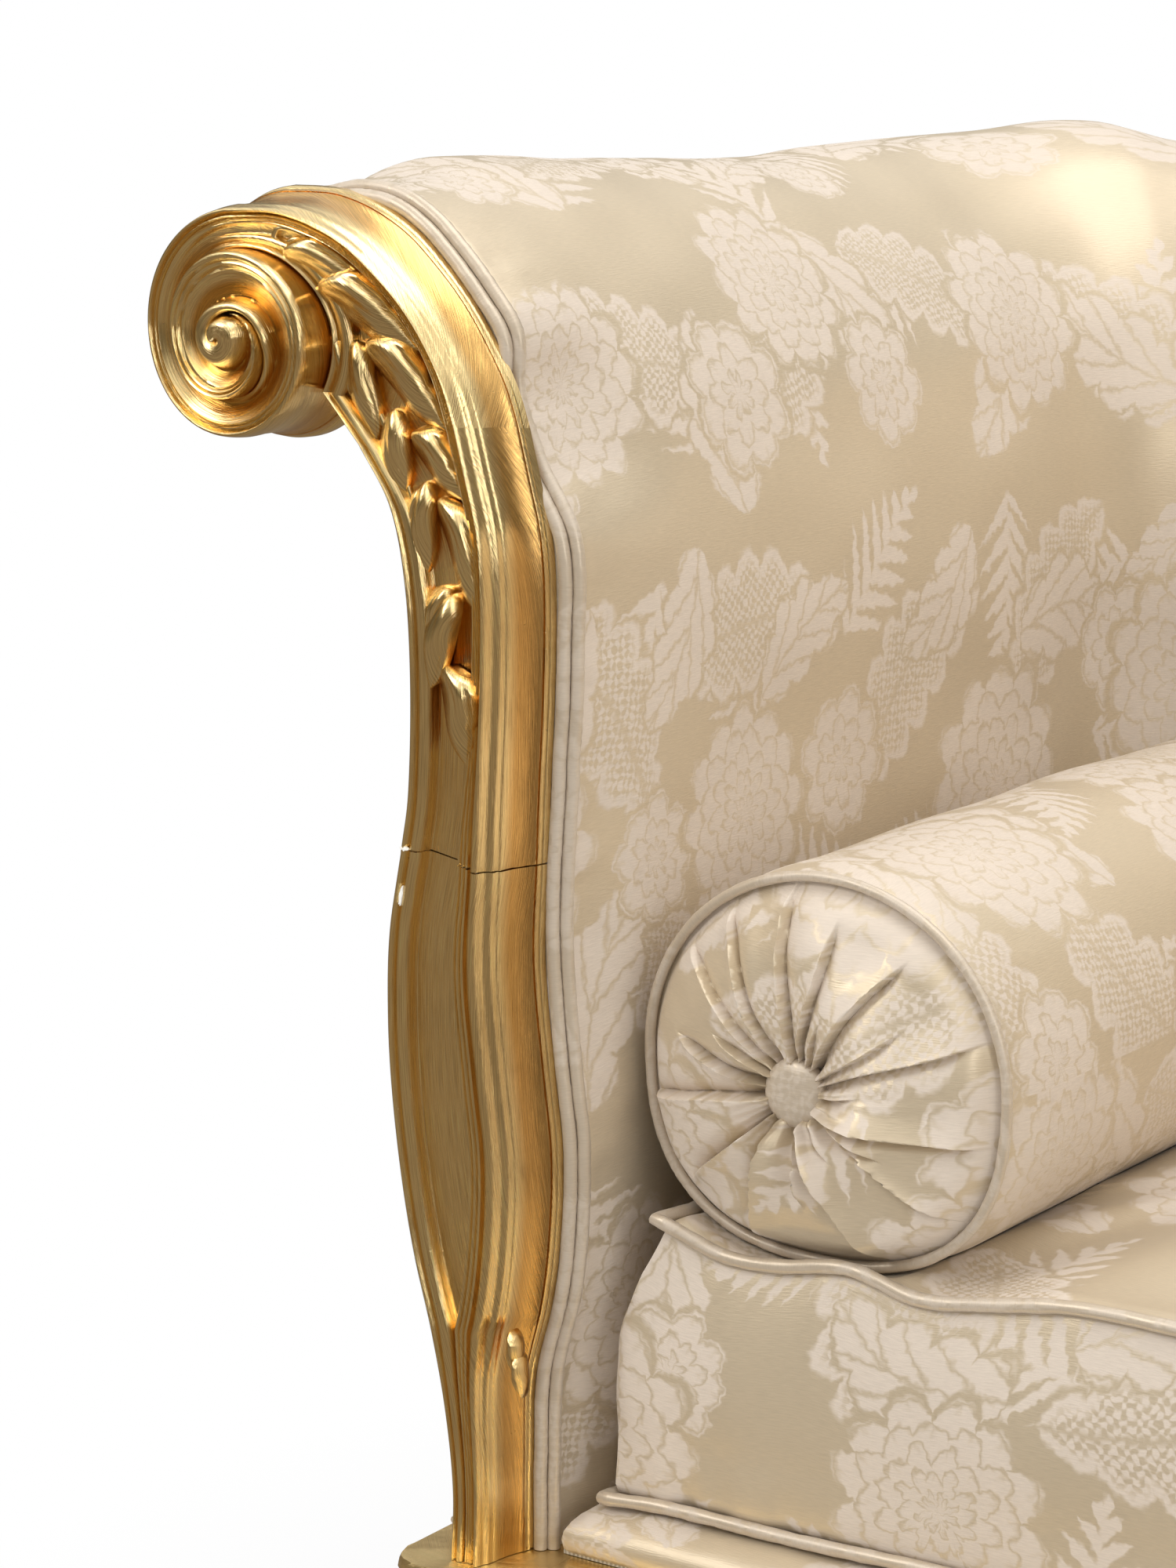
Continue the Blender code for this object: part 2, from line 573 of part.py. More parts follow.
def carved_posts(side, label):
    mesh_object("arm_post_" + label, [post_shell(side)], GILT)
    scroll = mesh_object("arm_scroll_" + label, [scroll_shell(side)], GILT)
    for k, row in enumerate(LEAF_shares):
        leaf = mesh_object(f"leaf_cutter_{label}_{k}", [leaf_shell(side, row)], GILT)
        leaf.hide_render = True
        leaf.display_type = "WIRE"
        join = scroll.modifiers.new(f"leaf_{k}", "BOOLEAN")
        join.operation = "UNION"
        join.object = leaf


# Arm and back sections, as lines of (reach, height)


def pad_face():
    """The fabric's face from the seat rail up, over the roll and down under it."""
    line = [(PAD_FOOT_REACH, FOOT_Z)]
    line += [(reach * PAD_FACE_REACH, height_at(rise)) for rise, reach in PAD_FACE_shares]
    shoulder = [edge_points(rise, reach) for rise, reach in SHOULDER_shares]
    line += [tuple(p) for p in offset(shoulder, -PAD_PROUD)]
    for turn in ROLL_TURN_shares:
        line.append(tuple(volute_point(turn, groove_radius(turn) + ring_cove(turn) + PAD_PROUD)))
    return line


def wood_outline(out):
    """The rear edge of the carved wood moved out, with one point for each point of the pad's face."""
    line = []
    for _, z in pad_face()[: 1 + len(PAD_FACE_shares)]:
        line.append((post_inner(rise_at(z)) + out, z))
    line += [tuple(p) for p in offset([edge_points(*row) for row in SHOULDER_shares], -out)]
    for turn in ROLL_TURN_shares:
        line.append(tuple(volute_point(turn, groove_radius(turn) + ring_cove(turn) + out)))
    return line


def post_inner(share):
    """Reach of the carved wood's rear edge on the seat side, from the foot to the stem's top."""
    if share <= POST_INNER_shares[-1][0]:
        return curve(POST_INNER_shares, share)[0] * POST_WIDTH
    rows = [(row[2], row[3]) for row in STEM_shares]
    return curve(rows, share)[0] * POST_WIDTH


def cover_face():
    """The outside cover's face, from the top of the seat rail up to the underside of the roll."""
    return [(-COVER_FOOT_REACH, FOOT_Z)] + [tuple(edge_points(rise, reach)) for rise, reach in COVER_shares]


def pad_back(extra=0.0):
    return offset(pad_face(), PAD_THICKNESS + extra)


def pad_ring(face):
    """Closed section of a pad: its face upwards, its back downwards with fewer points, level at the foot."""
    back = [tuple(p) for p in pad_back()]
    roll = 1 + len(PAD_FACE_shares)
    return face + back[roll:][::-1] + back[1:roll:2][::-1] + [(back[0][0], FOOT_Z)]


def top_rail_ring():
    """Section of the rail that fills the roll: parallel to the pad's back above, and to the outside cover below."""
    under = [tuple(p) for p in offset(cover_face(), -COVER_THICKNESS - GAP)[-ROLL_LINES:]]
    over = [tuple(p) for p in pad_back(GAP)[1 + len(PAD_FACE_shares) + 1:]]
    return over[::-2] + [over[0], (over[0][0], under[0][1])] + under


class Path:
    """Arm line of the sofa: along the left arm, round the corner and along the back, seen from above."""

    def __init__(self):
        self.arm = CORNER_Y - FRONT_Y
        self.bend = CORNER_RADIUS * pi / 2
        self.back = CORNER_X
        self.length = self.arm + self.bend + self.back

    def at(self, s):
        """Place on the line and the direction towards the seat."""
        if s <= self.arm:
            return (-LINE_X, FRONT_Y + s), (1.0, 0.0)
        if s <= self.arm + self.bend:
            a = (s - self.arm) / CORNER_RADIUS
            return (-CORNER_X - CORNER_RADIUS * cos(a), CORNER_Y + CORNER_RADIUS * sin(a)), (cos(a), -sin(a))
        return (-CORNER_X + s - self.arm - self.bend, BACK_Y), (0.0, -1.0)

    def lifted(self, s, z):
        """Height of a point of the section at s, raised or lowered with the crest."""
        share = s / self.length
        lift = curve(CREST_shares, min(share, 2 - share))[0] * RISE
        start = RAIL_TOP_Z + CREST_BLEND * RISE
        return z + lift * ease((z - start) / (VOLUTE_Z - start))

    def ring(self, s, section_line, side=1):
        """A section stood up across the line at s, its upper part lifted with the crest."""
        (x, y), (dx, dy) = self.at(s)
        return [(side * (x + dx * reach), y + dy * reach, self.lifted(s, z)) for reach, z in section_line]


def spread(start, end, count):
    return [start + (end - start) * k / count for k in range(count + 1)]


def arm_stations(path, start):
    """Stations from the front of the arm round the corner, a little way along the back."""
    stations = [start] + spread(start + PAD_BLEND_RUN, path.arm, ARM_STEPS)
    stations += spread(path.arm, path.arm + path.bend, BEND_STEPS)[1:]
    return stations + [path.arm + path.bend + BACK_PAD_JOIN]


def cord(line, radius, sides, across, loop=False):
    """A tube along a line of points, its rings square to the line and to a direction that the line never takes."""
    line = np.array(line, float)
    if loop:
        way = np.roll(line, -1, axis=0) - np.roll(line, 1, axis=0)
    else:
        way = np.gradient(line, axis=0)
    rings = []
    for place, direction in zip(line, way):
        direction = direction / np.linalg.norm(direction)
        first = np.cross(direction, across)
        first /= np.linalg.norm(first)
        second = np.cross(direction, first)
        ring = []
        for k in range(sides):
            angle = 2 * pi * (k + 0.5) / sides
            ring.append(tuple(place + radius * (cos(angle) * first + sin(angle) * second)))
        rings.append(ring)
    return loft(rings, loop=loop)


def welt_shell(side):
    """Double welt beside the wood's rear edge: two six-sided cords that share a side, on the slope to the fabric."""
    run, rise = PAD_EDGE_RUN, PAD_PROUD + PAD_EDGE_SINK
    slope = hypot(run, rise)
    along, away = np.array((rise, run)) / slope, np.array((run, -rise)) / slope
    middle = np.array((PAD_PROUD - rise / 2, PAD_START + PAD_EDGE_BACK + run / 2))
    middle += away * (WELT_CORD + 2 * GAP)
    half = WELT_CORD * cos(pi / 6)
    section_points = [(-half, radians(a)) for a in (30, 90, 150, 210, 270, 330)]
    section_points += [(half, radians(a)) for a in (270, 330, 30, 90)]
    lines = []
    for centre, angle in section_points:
        out, depth = middle + along * (centre + WELT_CORD * cos(angle)) + away * WELT_CORD * sin(angle)
        line = wood_outline(out)
        line[0] = (line[0][0], line[0][1] + 2 * WELT_CORD)
        lines.append([(reach, depth, z) for reach, z in line])
    return loft([placed([line[k] for line in lines], side) for k in range(len(lines[0]))])


def upholstery(path, side, label):
    """Arm pad with its corner, the rail in its roll, the outside cover and the double welt."""
    along = arm_stations(path, PAD_START + PAD_EDGE_BACK + PAD_EDGE_RUN)
    edge = pad_ring(wood_outline(-PAD_EDGE_SINK))
    rings = [path.ring(s, edge, side) for s in (PAD_START, PAD_START + PAD_EDGE_BACK)]
    rings.append(path.ring(along[0], pad_ring(wood_outline(PAD_PROUD)), side))
    rings += [path.ring(s, pad_ring(pad_face()), side) for s in along[1:]]
    mesh_object("arm_pad_" + label, [loft(rings)], DAMASK)
    stations = [PAD_START, PAD_START + PAD_EDGE_BACK] + along
    rail = top_rail_ring()
    mesh_object("arm_top_rail_" + label, [loft([path.ring(s, rail, side) for s in stations])], BEECH)
    cover = cover_ring()
    mesh_object("outside_arm_" + label, [loft([path.ring(s, cover, side) for s in stations])], DAMASK)
    low = [BLOCK_BACK + GAP] + along[1:-1]
    mesh_object("side_rail_" + label, [loft([path.ring(s, rail_ring(), side) for s in low])], GILT)
    mesh_object("arm_welt_" + label, [welt_shell(side)], CORD)
    upright("corner_post_" + label, path, path.arm + path.bend / 2, side)


def cover_ring():
    outer = cover_face()
    inner = [tuple(p) for p in offset(outer, -COVER_THICKNESS)]
    inner[0] = (inner[0][0], outer[0][1])
    return inner[:-ROLL_LINES:2] + inner[-ROLL_LINES:] + outer[::-1]


def rail_ring():
    low, high = RAIL_BOTTOM_Z, RAIL_TOP_Z
    return [(-RAIL_OUTER, low), (-RAIL_OUTER, high), (RAIL_INNER, high), (RAIL_INNER, low)]


def upright(name, path, s, side=1):
    """A square upright from the seat rail to a little under the top rail, square to the arm line."""
    top = path.lifted(s, top_rail_ring()[-ROLL_LINES][1]) - LAP / 2
    (x, y), (dx, dy) = path.at(s)
    rings = []
    for z in (FOOT_Z, top):
        ring = []
        inner = PAD_FOOT_REACH - PAD_THICKNESS - GAP
        for reach, across in ((-UPRIGHT_OUTER, -1), (inner, -1), (inner, 1), (-UPRIGHT_OUTER, 1)):
            run = across * UPRIGHT_WIDTH / 2
            ring.append((side * (x + dx * reach - dy * run), y + dy * reach + dx * run, z))
        rings.append(ring)
    return mesh_object(name, [loft(rings)], BEECH)


def back(path):
    """Back pad, top rail, outside cover, seat rail and two stiles, between the two arm corners."""
    first = path.arm + path.bend + BACK_PAD_JOIN + GAP
    stations = spread(first, 2 * path.length - first, BACK_STEPS)
    mesh_object("back_pad", [loft([path.ring(s, pad_ring(pad_face())) for s in stations])], DAMASK)
    mesh_object("back_top_rail", [loft([path.ring(s, top_rail_ring()) for s in stations])], BEECH)
    mesh_object("outside_back", [loft([path.ring(s, cover_ring()) for s in stations])], DAMASK)
    ends = (path.arm + path.bend + GAP, 2 * path.length - path.arm - path.bend - GAP)
    mesh_object("back_rail", [loft([path.ring(s, rail_ring()) for s in ends])], GILT)
    for side, label in ((1, "left"), (-1, "right")):
        upright("back_stile_" + label, path, path.length - side * STILE_PLACE)


# Legs and rails


def leg_shell(shares, centre, half, top, shift, side):
    """A carved leg: rounded square sections down its height, its knee and foot pushed outwards along shift."""
    rings = []
    bottom = GLIDE_HEIGHT + GAP
    for height, wide, out in shares:
        z = bottom + (top - bottom) * height
        ring = []
        for corner in range(4):
            for lean in (-1, 1):
                angle = pi / 4 + corner * pi / 2 + lean * LEG_CORNER_LEAN
                stretch = 1 / max(abs(cos(angle)), abs(sin(angle)))
                x = centre[0] + shift[0] * out + half[0] * wide * cos(angle) * stretch
                y = centre[1] + shift[1] * out + half[1] * wide * sin(angle) * stretch
                ring.append((side * x, y, z))
        rings.append(ring)
    return loft(rings)


def glide(centre, side):
    ring = [(cos(2 * pi * k / GLIDE_SIDES), sin(2 * pi * k / GLIDE_SIDES)) for k in range(GLIDE_SIDES)]
    low = [(side * (centre[0] + GLIDE_RADIUS * c), centre[1] + GLIDE_RADIUS * s, 0.0) for c, s in ring]
    return loft([low, [(x, y, GLIDE_HEIGHT) for x, y, z in low]])


def legs(path):
    glides = []
    reach = (BLOCK_OUTER + BLOCK_INNER) / 2
    depth = (BLOCK_FRONT + BLOCK_BACK) / 2
    middle = path.at(path.arm + path.bend / 2)
    rear_half = (REAR_LEG_OUTER + REAR_LEG_INNER) / 2
    rear_centre = tuple(a + b * (REAR_LEG_INNER - rear_half) for a, b in zip(*middle))
    for side, label in ((1, "left"), (-1, "right")):
        centre = (-LINE_X - BLOCK_OUTER + reach, FRONT_Y - BLOCK_FRONT + depth)
        shift = (-reach, -depth)
        shell = leg_shell(LEG_shares, centre, (reach, depth), RAIL_TOP_Z, shift, side)
        mesh_object("front_leg_" + label, [shell], GILT)
        foot = [c + d * LEG_shares[-1][2] for c, d in zip(centre, shift)]
        glides.append(("front_glide_" + label, foot, side))
        half = rear_half / sqrt(2)
        shift = (-half, half)
        shell = leg_shell(REAR_LEG_shares, rear_centre, (half, half), RAIL_BOTTOM_Z - GAP, shift, side)
        mesh_object("rear_leg_" + label, [shell], GILT)
        foot = [c + d * REAR_LEG_shares[-1][2] for c, d in zip(rear_centre, shift)]
        glides.append(("rear_glide_" + label, foot, side))
    wide = MIDDLE_LEG_WIDTH / 2
    front = (0.0, FRONT_Y + FRONT_RAIL_BACK - LAP - GAP - wide)
    rear = (0.0, BACK_Y - RAIL_INNER + LAP + GAP + rear_half)
    for name, shares, centre, half, shift in (
        ("front_leg_middle", LEG_shares[LEG_BLOCK_STEPS:], front, (wide, wide), (0.0, -wide)),
        ("rear_leg_middle", REAR_LEG_shares, rear, (rear_half, rear_half), (0.0, rear_half)),
    ):
        top = shares[0][0]
        shares = [(height / top, out_width, out) for height, out_width, out in shares]
        shell = leg_shell(shares, centre, half, RAIL_BOTTOM_Z - GAP, shift, 1)
        mesh_object(name, [shell], GILT)
        foot = [c + d * shares[-1][2] for c, d in zip(centre, shift)]
        glides.append((name.replace("leg", "glide"), foot, 1))
    for name, centre, side in glides:
        mesh_object(name, [glide(centre, side)], GLIDE)


def front_rail():
    """Moulded front rail with a shaped apron whose lower edge dips towards the middle and the legs."""
    end = LINE_X - BLOCK_INNER - GAP
    face, back = FRONT_Y - FRONT_RAIL_FACE, FRONT_Y + FRONT_RAIL_BACK
    tall = RAIL_TOP_Z - RAIL_BOTTOM_Z
    rings = []
    clear = MIDDLE_LEG_WIDTH / 2 + 2 * GAP
    half = [clear - GAP] + spread(clear, end, APRON_STEPS)
    for x in [-x for x in half[::-1]] + half:
        drop = max(curve(APRON_shares, abs(x) / end)[0], 0.0) * APRON_DROP
        low = RAIL_BOTTOM_Z - (drop if abs(x) >= clear else 0.0)
        section_line = [(back, RAIL_TOP_Z)]
        for out, height in RAIL_FACE_shares:
            section_line.append((face + RAIL_MOULDING * (1 - out), RAIL_BOTTOM_Z + tall * height))
        section_line += [(face + RAIL_MOULDING * 0.5, low), (face + APRON_THICKNESS, low)]
        section_line += [(face + APRON_THICKNESS, RAIL_BOTTOM_Z + GAP), (back, RAIL_BOTTOM_Z + GAP)]
        rings.append([(x, y, z) for y, z in section_line])
    mesh_object("front_rail", [loft(rings)], GILT)


# Seat


def seat_frame():
    back_face = BACK_Y - RAIL_INNER - GAP
    front_face = FRONT_Y + FRONT_RAIL_BACK + GAP
    for side, label in ((-1, "left"), (1, "right")):
        x = side * CROSS_RAIL_PLACE
        low = (x - CROSS_RAIL_WIDTH / 2, front_face, RAIL_BOTTOM_Z)
        high = (x + CROSS_RAIL_WIDTH / 2, back_face, RAIL_BOTTOM_Z + CROSS_RAIL_DEPTH)
        mesh_object("cross_rail_" + label, [block(low, high)], BEECH)
    side_in = LINE_X - RAIL_INNER + LAP
    front_in, back_in = FRONT_Y + FRONT_RAIL_BACK - LAP, BACK_Y - RAIL_INNER + LAP
    top = RAIL_BOTTOM_Z - GAP
    block_clear = FRONT_Y + BLOCK_BACK + GAP
    across = spread(block_clear, CORNER_Y - STRAP_WIDTH, STRAPS_ACROSS - 1)
    spacing = 2 * CORNER_X / STRAPS_ALONG
    along = [spacing * (k + 0.5) - CORNER_X - STRAP_WIDTH / 2 for k in range(STRAPS_ALONG)]
    under = top - STRAP_THICKNESS
    web = lattice(along, across, (-side_in, side_in), (front_in, back_in), under, top)
    mesh_object("seat_webbing", [web], WEB)
    dust_top = under - GAP
    outline = dust_outline(side_in, front_in, back_in)
    mesh_object("dust_cover", [prism(outline, dust_top - DUST_THICKNESS, dust_top)], CANVAS)
    springs(top + GAP + GAP)
    canvas = plan_outline(CANVAS_EDGE, FRONT_Y + DECK_FRONT + CANVAS_THICKNESS)
    mesh_object("spring_canvas", [prism(canvas, FOOT_Z, FOOT_Z + CANVAS_THICKNESS)], CANVAS)
    seat_deck(FOOT_Z + CANVAS_THICKNESS + GAP)


def lattice(along, across, ends_x, ends_y, low, high):
    """Woven straps as one flat lattice: straps of one width from the given places to the ends."""
    xs = sorted({ends_x[0], ends_x[1], *along, *(x + STRAP_WIDTH for x in along)})
    ys = sorted({ends_y[0], ends_y[1], *across, *(y + STRAP_WIDTH for y in across)})
    in_x = [any(x - GAP < a < x + STRAP_WIDTH - GAP for x in along) for a in xs[:-1]]
    in_y = [any(y - GAP < a < y + STRAP_WIDTH - GAP for y in across) for a in ys[:-1]]
    work = bmesh.new()
    grid = [[work.verts.new((x, y, low)) for y in ys] for x in xs]
    cells = []
    for i in range(len(xs) - 1):
        for j in range(len(ys) - 1):
            if in_x[i] or in_y[j]:
                cells.append(work.faces.new((grid[i][j], grid[i + 1][j], grid[i + 1][j + 1], grid[i][j + 1])))
    raised = bmesh.ops.extrude_face_region(work, geom=cells, use_keep_orig=True)
    for v in raised["geom"]:
        if isinstance(v, bmesh.types.BMVert):
            v.co.z = high
    bmesh.ops.delete(work, geom=[v for v in work.verts if not v.link_faces], context="VERTS")
    work.verts.index_update()
    shell = [tuple(v.co) for v in work.verts], [[v.index for v in f.verts] for f in work.faces]
    work.free()
    return shell


def prism(outline, low, high):
    return loft([[(x, y, z) for x, y in outline] for z in (low, high)])


def dust_outline(side_in, front_in, back_in):
    """The dust cover's outline: straight sides lapped on the rails, notched round the front blocks."""
    notch_x = LINE_X - BLOCK_INNER - GAP
    notch_y = FRONT_Y + BLOCK_BACK + GAP
    half = [(notch_x, front_in), (notch_x, notch_y), (side_in, notch_y), (side_in, CORNER_Y)]
    radius = CORNER_RADIUS - RAIL_INNER + LAP
    for k in range(1, BEND_STEPS):
        angle = pi / 2 * k / BEND_STEPS
        half.append((CORNER_X + radius * cos(angle), CORNER_Y + radius * sin(angle)))
    half.append((CORNER_X, back_in))
    return half + [(-x, y) for x, y in half[::-1]]


def plan_outline(reach, front):
    """Outline of the seat seen from above, at a reach inside the arm line, with round rear corners."""
    right = LINE_X - reach
    rear = BACK_Y - reach
    radius = CORNER_RADIUS - reach
    half = [(right, front)]
    for k in range(BEND_STEPS + 1):
        angle = pi / 2 * k / BEND_STEPS
        half.append((right - radius + radius * cos(angle), rear - radius + radius * sin(angle)))
    return half + [(-x, y) for x, y in half[::-1]]


def springs(floor):
    """Rows of waisted coil springs, each row one unbroken wire that goes down one coil and climbs the next."""
    tall = RAIL_TOP_Z - GAP - floor
    steps = round(SPRING_TURNS * SPRING_SIDES)
    depth = BACK_Y - RAIL_INNER - FRONT_Y - FRONT_RAIL_BACK
    for place, label in zip(SPRING_ROW_shares, ("front", "back")):
        y = FRONT_Y + FRONT_RAIL_BACK + depth * place
        line = []
        for column in range(SPRINGS_PER_ROW):
            x = 2 * CORNER_X * (column + 0.5) / SPRINGS_PER_ROW - CORNER_X
            for k in range(steps + 1):
                share = k / steps
                angle = pi - 2 * pi * SPRING_TURNS * share
                radius = SPRING_WAIST + (SPRING_RADIUS - SPRING_WAIST) * abs(2 * share - 1)
                climb = 1 - ease(share) if column % 2 == 0 else ease(share)
                z = floor + SPRING_WIRE + (tall - 2 * SPRING_WIRE) * climb
                line.append((x + radius * cos(angle), y + radius * sin(angle), z))
        mesh_object("seat_springs_" + label, [cord(line, SPRING_WIRE, SPRING_WIRE_SIDES, UP)], STEEL)


def seat_deck(floor):
    """Upholstered platform with a soft front roll."""
    rings = []
    for share, inward in DECK_shares:
        roll = inward * DECK_ROLL
        outline = plan_outline(DECK_EDGE + roll * DECK_SIDE_ROLL_share, FRONT_Y + DECK_FRONT + roll)
        rings.append([(x, y, floor + (DECK_TOP_Z - floor) * share) for x, y in outline])
    mesh_object("seat_deck", [loft(rings)], DAMASK)


# Loose pieces


def bolster_rise(across):
    """Height of the bolster's underside above its lowest line, at a distance across from its middle."""
    share = min(abs(across) / BOLSTER_HALF_WIDTH, 1.0)
    return BOLSTER_HALF_HEIGHT * (1 - (1 - share**BOLSTER_SQUASH) ** (1 / BOLSTER_SQUASH))


class Cushion:
    """Boxed seat cushion: a grid seen from above, with round rear corners and a drawn-in front."""

    def __init__(self):
        self.right = LINE_X - CUSHION_SIDE - CUSHION_INSET
        self.front = FRONT_Y + CUSHION_FRONT
        self.rear = BACK_Y - PAD_FACE_REACH - CUSHION_BACK
        bend = self.right - CUSHION_CORNER
        half = [share * bend for share in CUSHION_COLUMN_shares]
        steps = CUSHION_CORNER_STEPS
        half += [bend + CUSHION_CORNER * sin(pi / 2 * (k + 1) / steps) for k in range(steps)]
        self.columns = [-x for x in half[:0:-1]] + half
        self.rows = CUSHION_ROW_shares

    def place(self, i, j):
        x, share = self.columns[i], self.rows[j]
        inside = max(abs(x) - (self.right - CUSHION_CORNER), 0.0) / CUSHION_CORNER
        rear = self.rear - CUSHION_CORNER * (1 - sqrt(max(1 - inside * inside, 0.0)))
        front = self.front + CUSHION_DRAW * (1 - (x / self.right) ** DRAW_POWER)
        return x, front + (rear - front) * share

    def height(self, i, j):
        x, share = self.columns[i], self.rows[j]
        if share in (0.0, 1.0) or i in (0, len(self.columns) - 1):
            return SEAM_Z
        crown = (1 - abs(x / self.right) ** CROWN_POWER_ACROSS) * (1 - abs(2 * share - 1) ** CROWN_POWER_DEEP)
        across = abs(x) - (LINE_X - BOLSTER_PLACE)
        settled = BOLSTER_Z - BOLSTER_HALF_HEIGHT - 2 * GAP
        if abs(across) > BOLSTER_SEAT:
            settled += bolster_rise(across) / 2
        return min(SEAM_Z + CUSHION_CROWN * crown, settled)

    def edge(self):
        """Grid places round the outline, from the front left, anticlockwise."""
        last_i, last_j = len(self.columns) - 1, len(self.rows) - 1
        line = [(i, 0) for i in range(last_i)] + [(last_i, j) for j in range(last_j)]
        return line + [(i, last_j) for i in range(last_i, 0, -1)] + [(0, j) for j in range(last_j, 0, -1)]

    def outline(self, grow, ear=0.0):
        """The outline moved out by grow, its two front corners by ear more."""
        line = np.array([self.place(i, j) for i, j in self.edge()])
        way = np.roll(line, -1, axis=0) - np.roll(line, 1, axis=0)
        way /= np.linalg.norm(way, axis=1)[:, None]
        out = np.column_stack((way[:, 1], -way[:, 0]))
        corner = np.array([j == 0 and i in (0, len(self.columns) - 1) for i, j in self.edge()])
        return line + out * (grow + ear * corner)[:, None]

    def shell(self):
        columns, rows = len(self.columns), len(self.rows)
        edge = self.edge()
        top = SEAM_Z
        bottom = DECK_TOP_Z + GAP
        seam = bottom + 2 * PIPING_RADIUS
        points, index = [], {}
        rim = self.outline(0.0, CUSHION_EAR)
        for k, key in enumerate(edge):
            index[key] = len(points)
            points.append((*rim[k], top))
        for i in range(columns):
            for j in range(rows):
                if (i, j) not in index:
                    index[i, j] = len(points)
                    points.append((*self.place(i, j), self.height(i, j)))
        faces = []
        for i in range(columns - 1):
            for j in range(rows - 1):
                faces.append((index[i, j], index[i + 1, j], index[i + 1, j + 1], index[i, j + 1]))
        above = [index[key] for key in edge]
        levels = [(share, CUSHION_INSET * share, 0.0) for share in BOXING_shares]
        levels.append((1.0, CUSHION_INSET, CUSHION_EAR))
        for share, grow, ear in levels:
            bulge = CUSHION_BULGE * sin(pi * share)
            ring = self.outline(grow + bulge, ear - 2 * bulge)
            below = list(range(len(points), len(points) + len(edge)))
            points += [(x, y, top + (seam - top) * share) for x, y in ring]
            faces += [(above[k], above[k - 1], below[k - 1], below[k]) for k in range(len(edge))]
            above = below
        below = list(range(len(points), len(points) + len(edge)))
        points += [(x, y, bottom) for x, y in self.outline(CUSHION_INSET - 3 * PIPING_RADIUS)]
        faces += [(above[k], above[k - 1], below[k - 1], below[k]) for k in range(len(edge))]
        faces.append(tuple(below))
        return points, faces

    def piping(self, z, grow, ear):
        line = self.outline(grow + PIPING_RADIUS + GAP / 2, ear)
        return cord([(x, y, z) for x, y in line], PIPING_RADIUS, PIPING_SIDES, UP, loop=True)


def bolster_ring(centre, share, y, pleat=0.0):
    """A ring of the bolster: round above and flatter below, its points pushed to and fro by the pleats."""
    ring = []
    for k in range(2 * PLEATS):
        angle = pi * k / PLEATS
        power = 2 / BOLSTER_SQUASH if sin(angle) < 0 else 1.0
        x = abs(cos(angle)) ** power * (1 if cos(angle) > 0 else -1)
        z = abs(sin(angle)) ** power * (1 if sin(angle) > 0 else -1)
        fold = pleat * (1 if k % 2 else -1)
        across, up = BOLSTER_HALF_WIDTH * share * x, BOLSTER_HALF_HEIGHT * share * z
        ring.append((centre[0] + across, y + fold, centre[1] + up))
    return ring


def bolster_shell(centre, front, rear):
    rows = []
    for share, dome, fold in BOLSTER_END_shares:
        rows.append(bolster_ring(centre, share, front - BOLSTER_DOME * dome, PLEAT_DEPTH * fold))
    for share, run in BOLSTER_SHOULDER_shares:
        rows.append(bolster_ring(centre, share, front + BOLSTER_HALF_WIDTH * run))
    for share, run in BOLSTER_SHOULDER_shares[::-1]:
        rows.append(bolster_ring(centre, share, rear - BOLSTER_HALF_WIDTH * run))
    for share, dome, fold in BOLSTER_END_shares[::-1]:
        rows.append(bolster_ring(centre, share, rear + BOLSTER_DOME * dome, PLEAT_DEPTH * fold))
    return loft(rows)


def bolster_piping(centre, y):
    share = BOLSTER_SHOULDER_shares[0][0] + (PIPING_RADIUS + 2 * GAP) / BOLSTER_HALF_WIDTH
    return cord(bolster_ring(centre, share, y), PIPING_RADIUS, PIPING_SIDES, DEEP, loop=True)


def button_shell(centre, y, out):
    """A covered button: a low dome on a flat back."""
    rings = []
    for share, tall in BUTTON_shares:
        ring = []
        radius, deep = BUTTON_RADIUS * share, y + out * BUTTON_HEIGHT * tall
        for k in range(BUTTON_SIDES):
            angle = 2 * pi * k / BUTTON_SIDES
            ring.append((centre[0] + radius * cos(angle), deep, centre[1] + radius * sin(angle)))
        rings.append(ring)
    return loft(rings)


def lift_frame(name, place, parent=None):
    """An empty on the line along which a loose piece lifts out."""
    empty = bpy.data.objects.new(name, None)
    bpy.context.scene.collection.objects.link(empty)
    empty.location = place
    if parent:
        empty.parent = parent
        empty.location = [a - b for a, b in zip(place, parent.location)]
    return empty


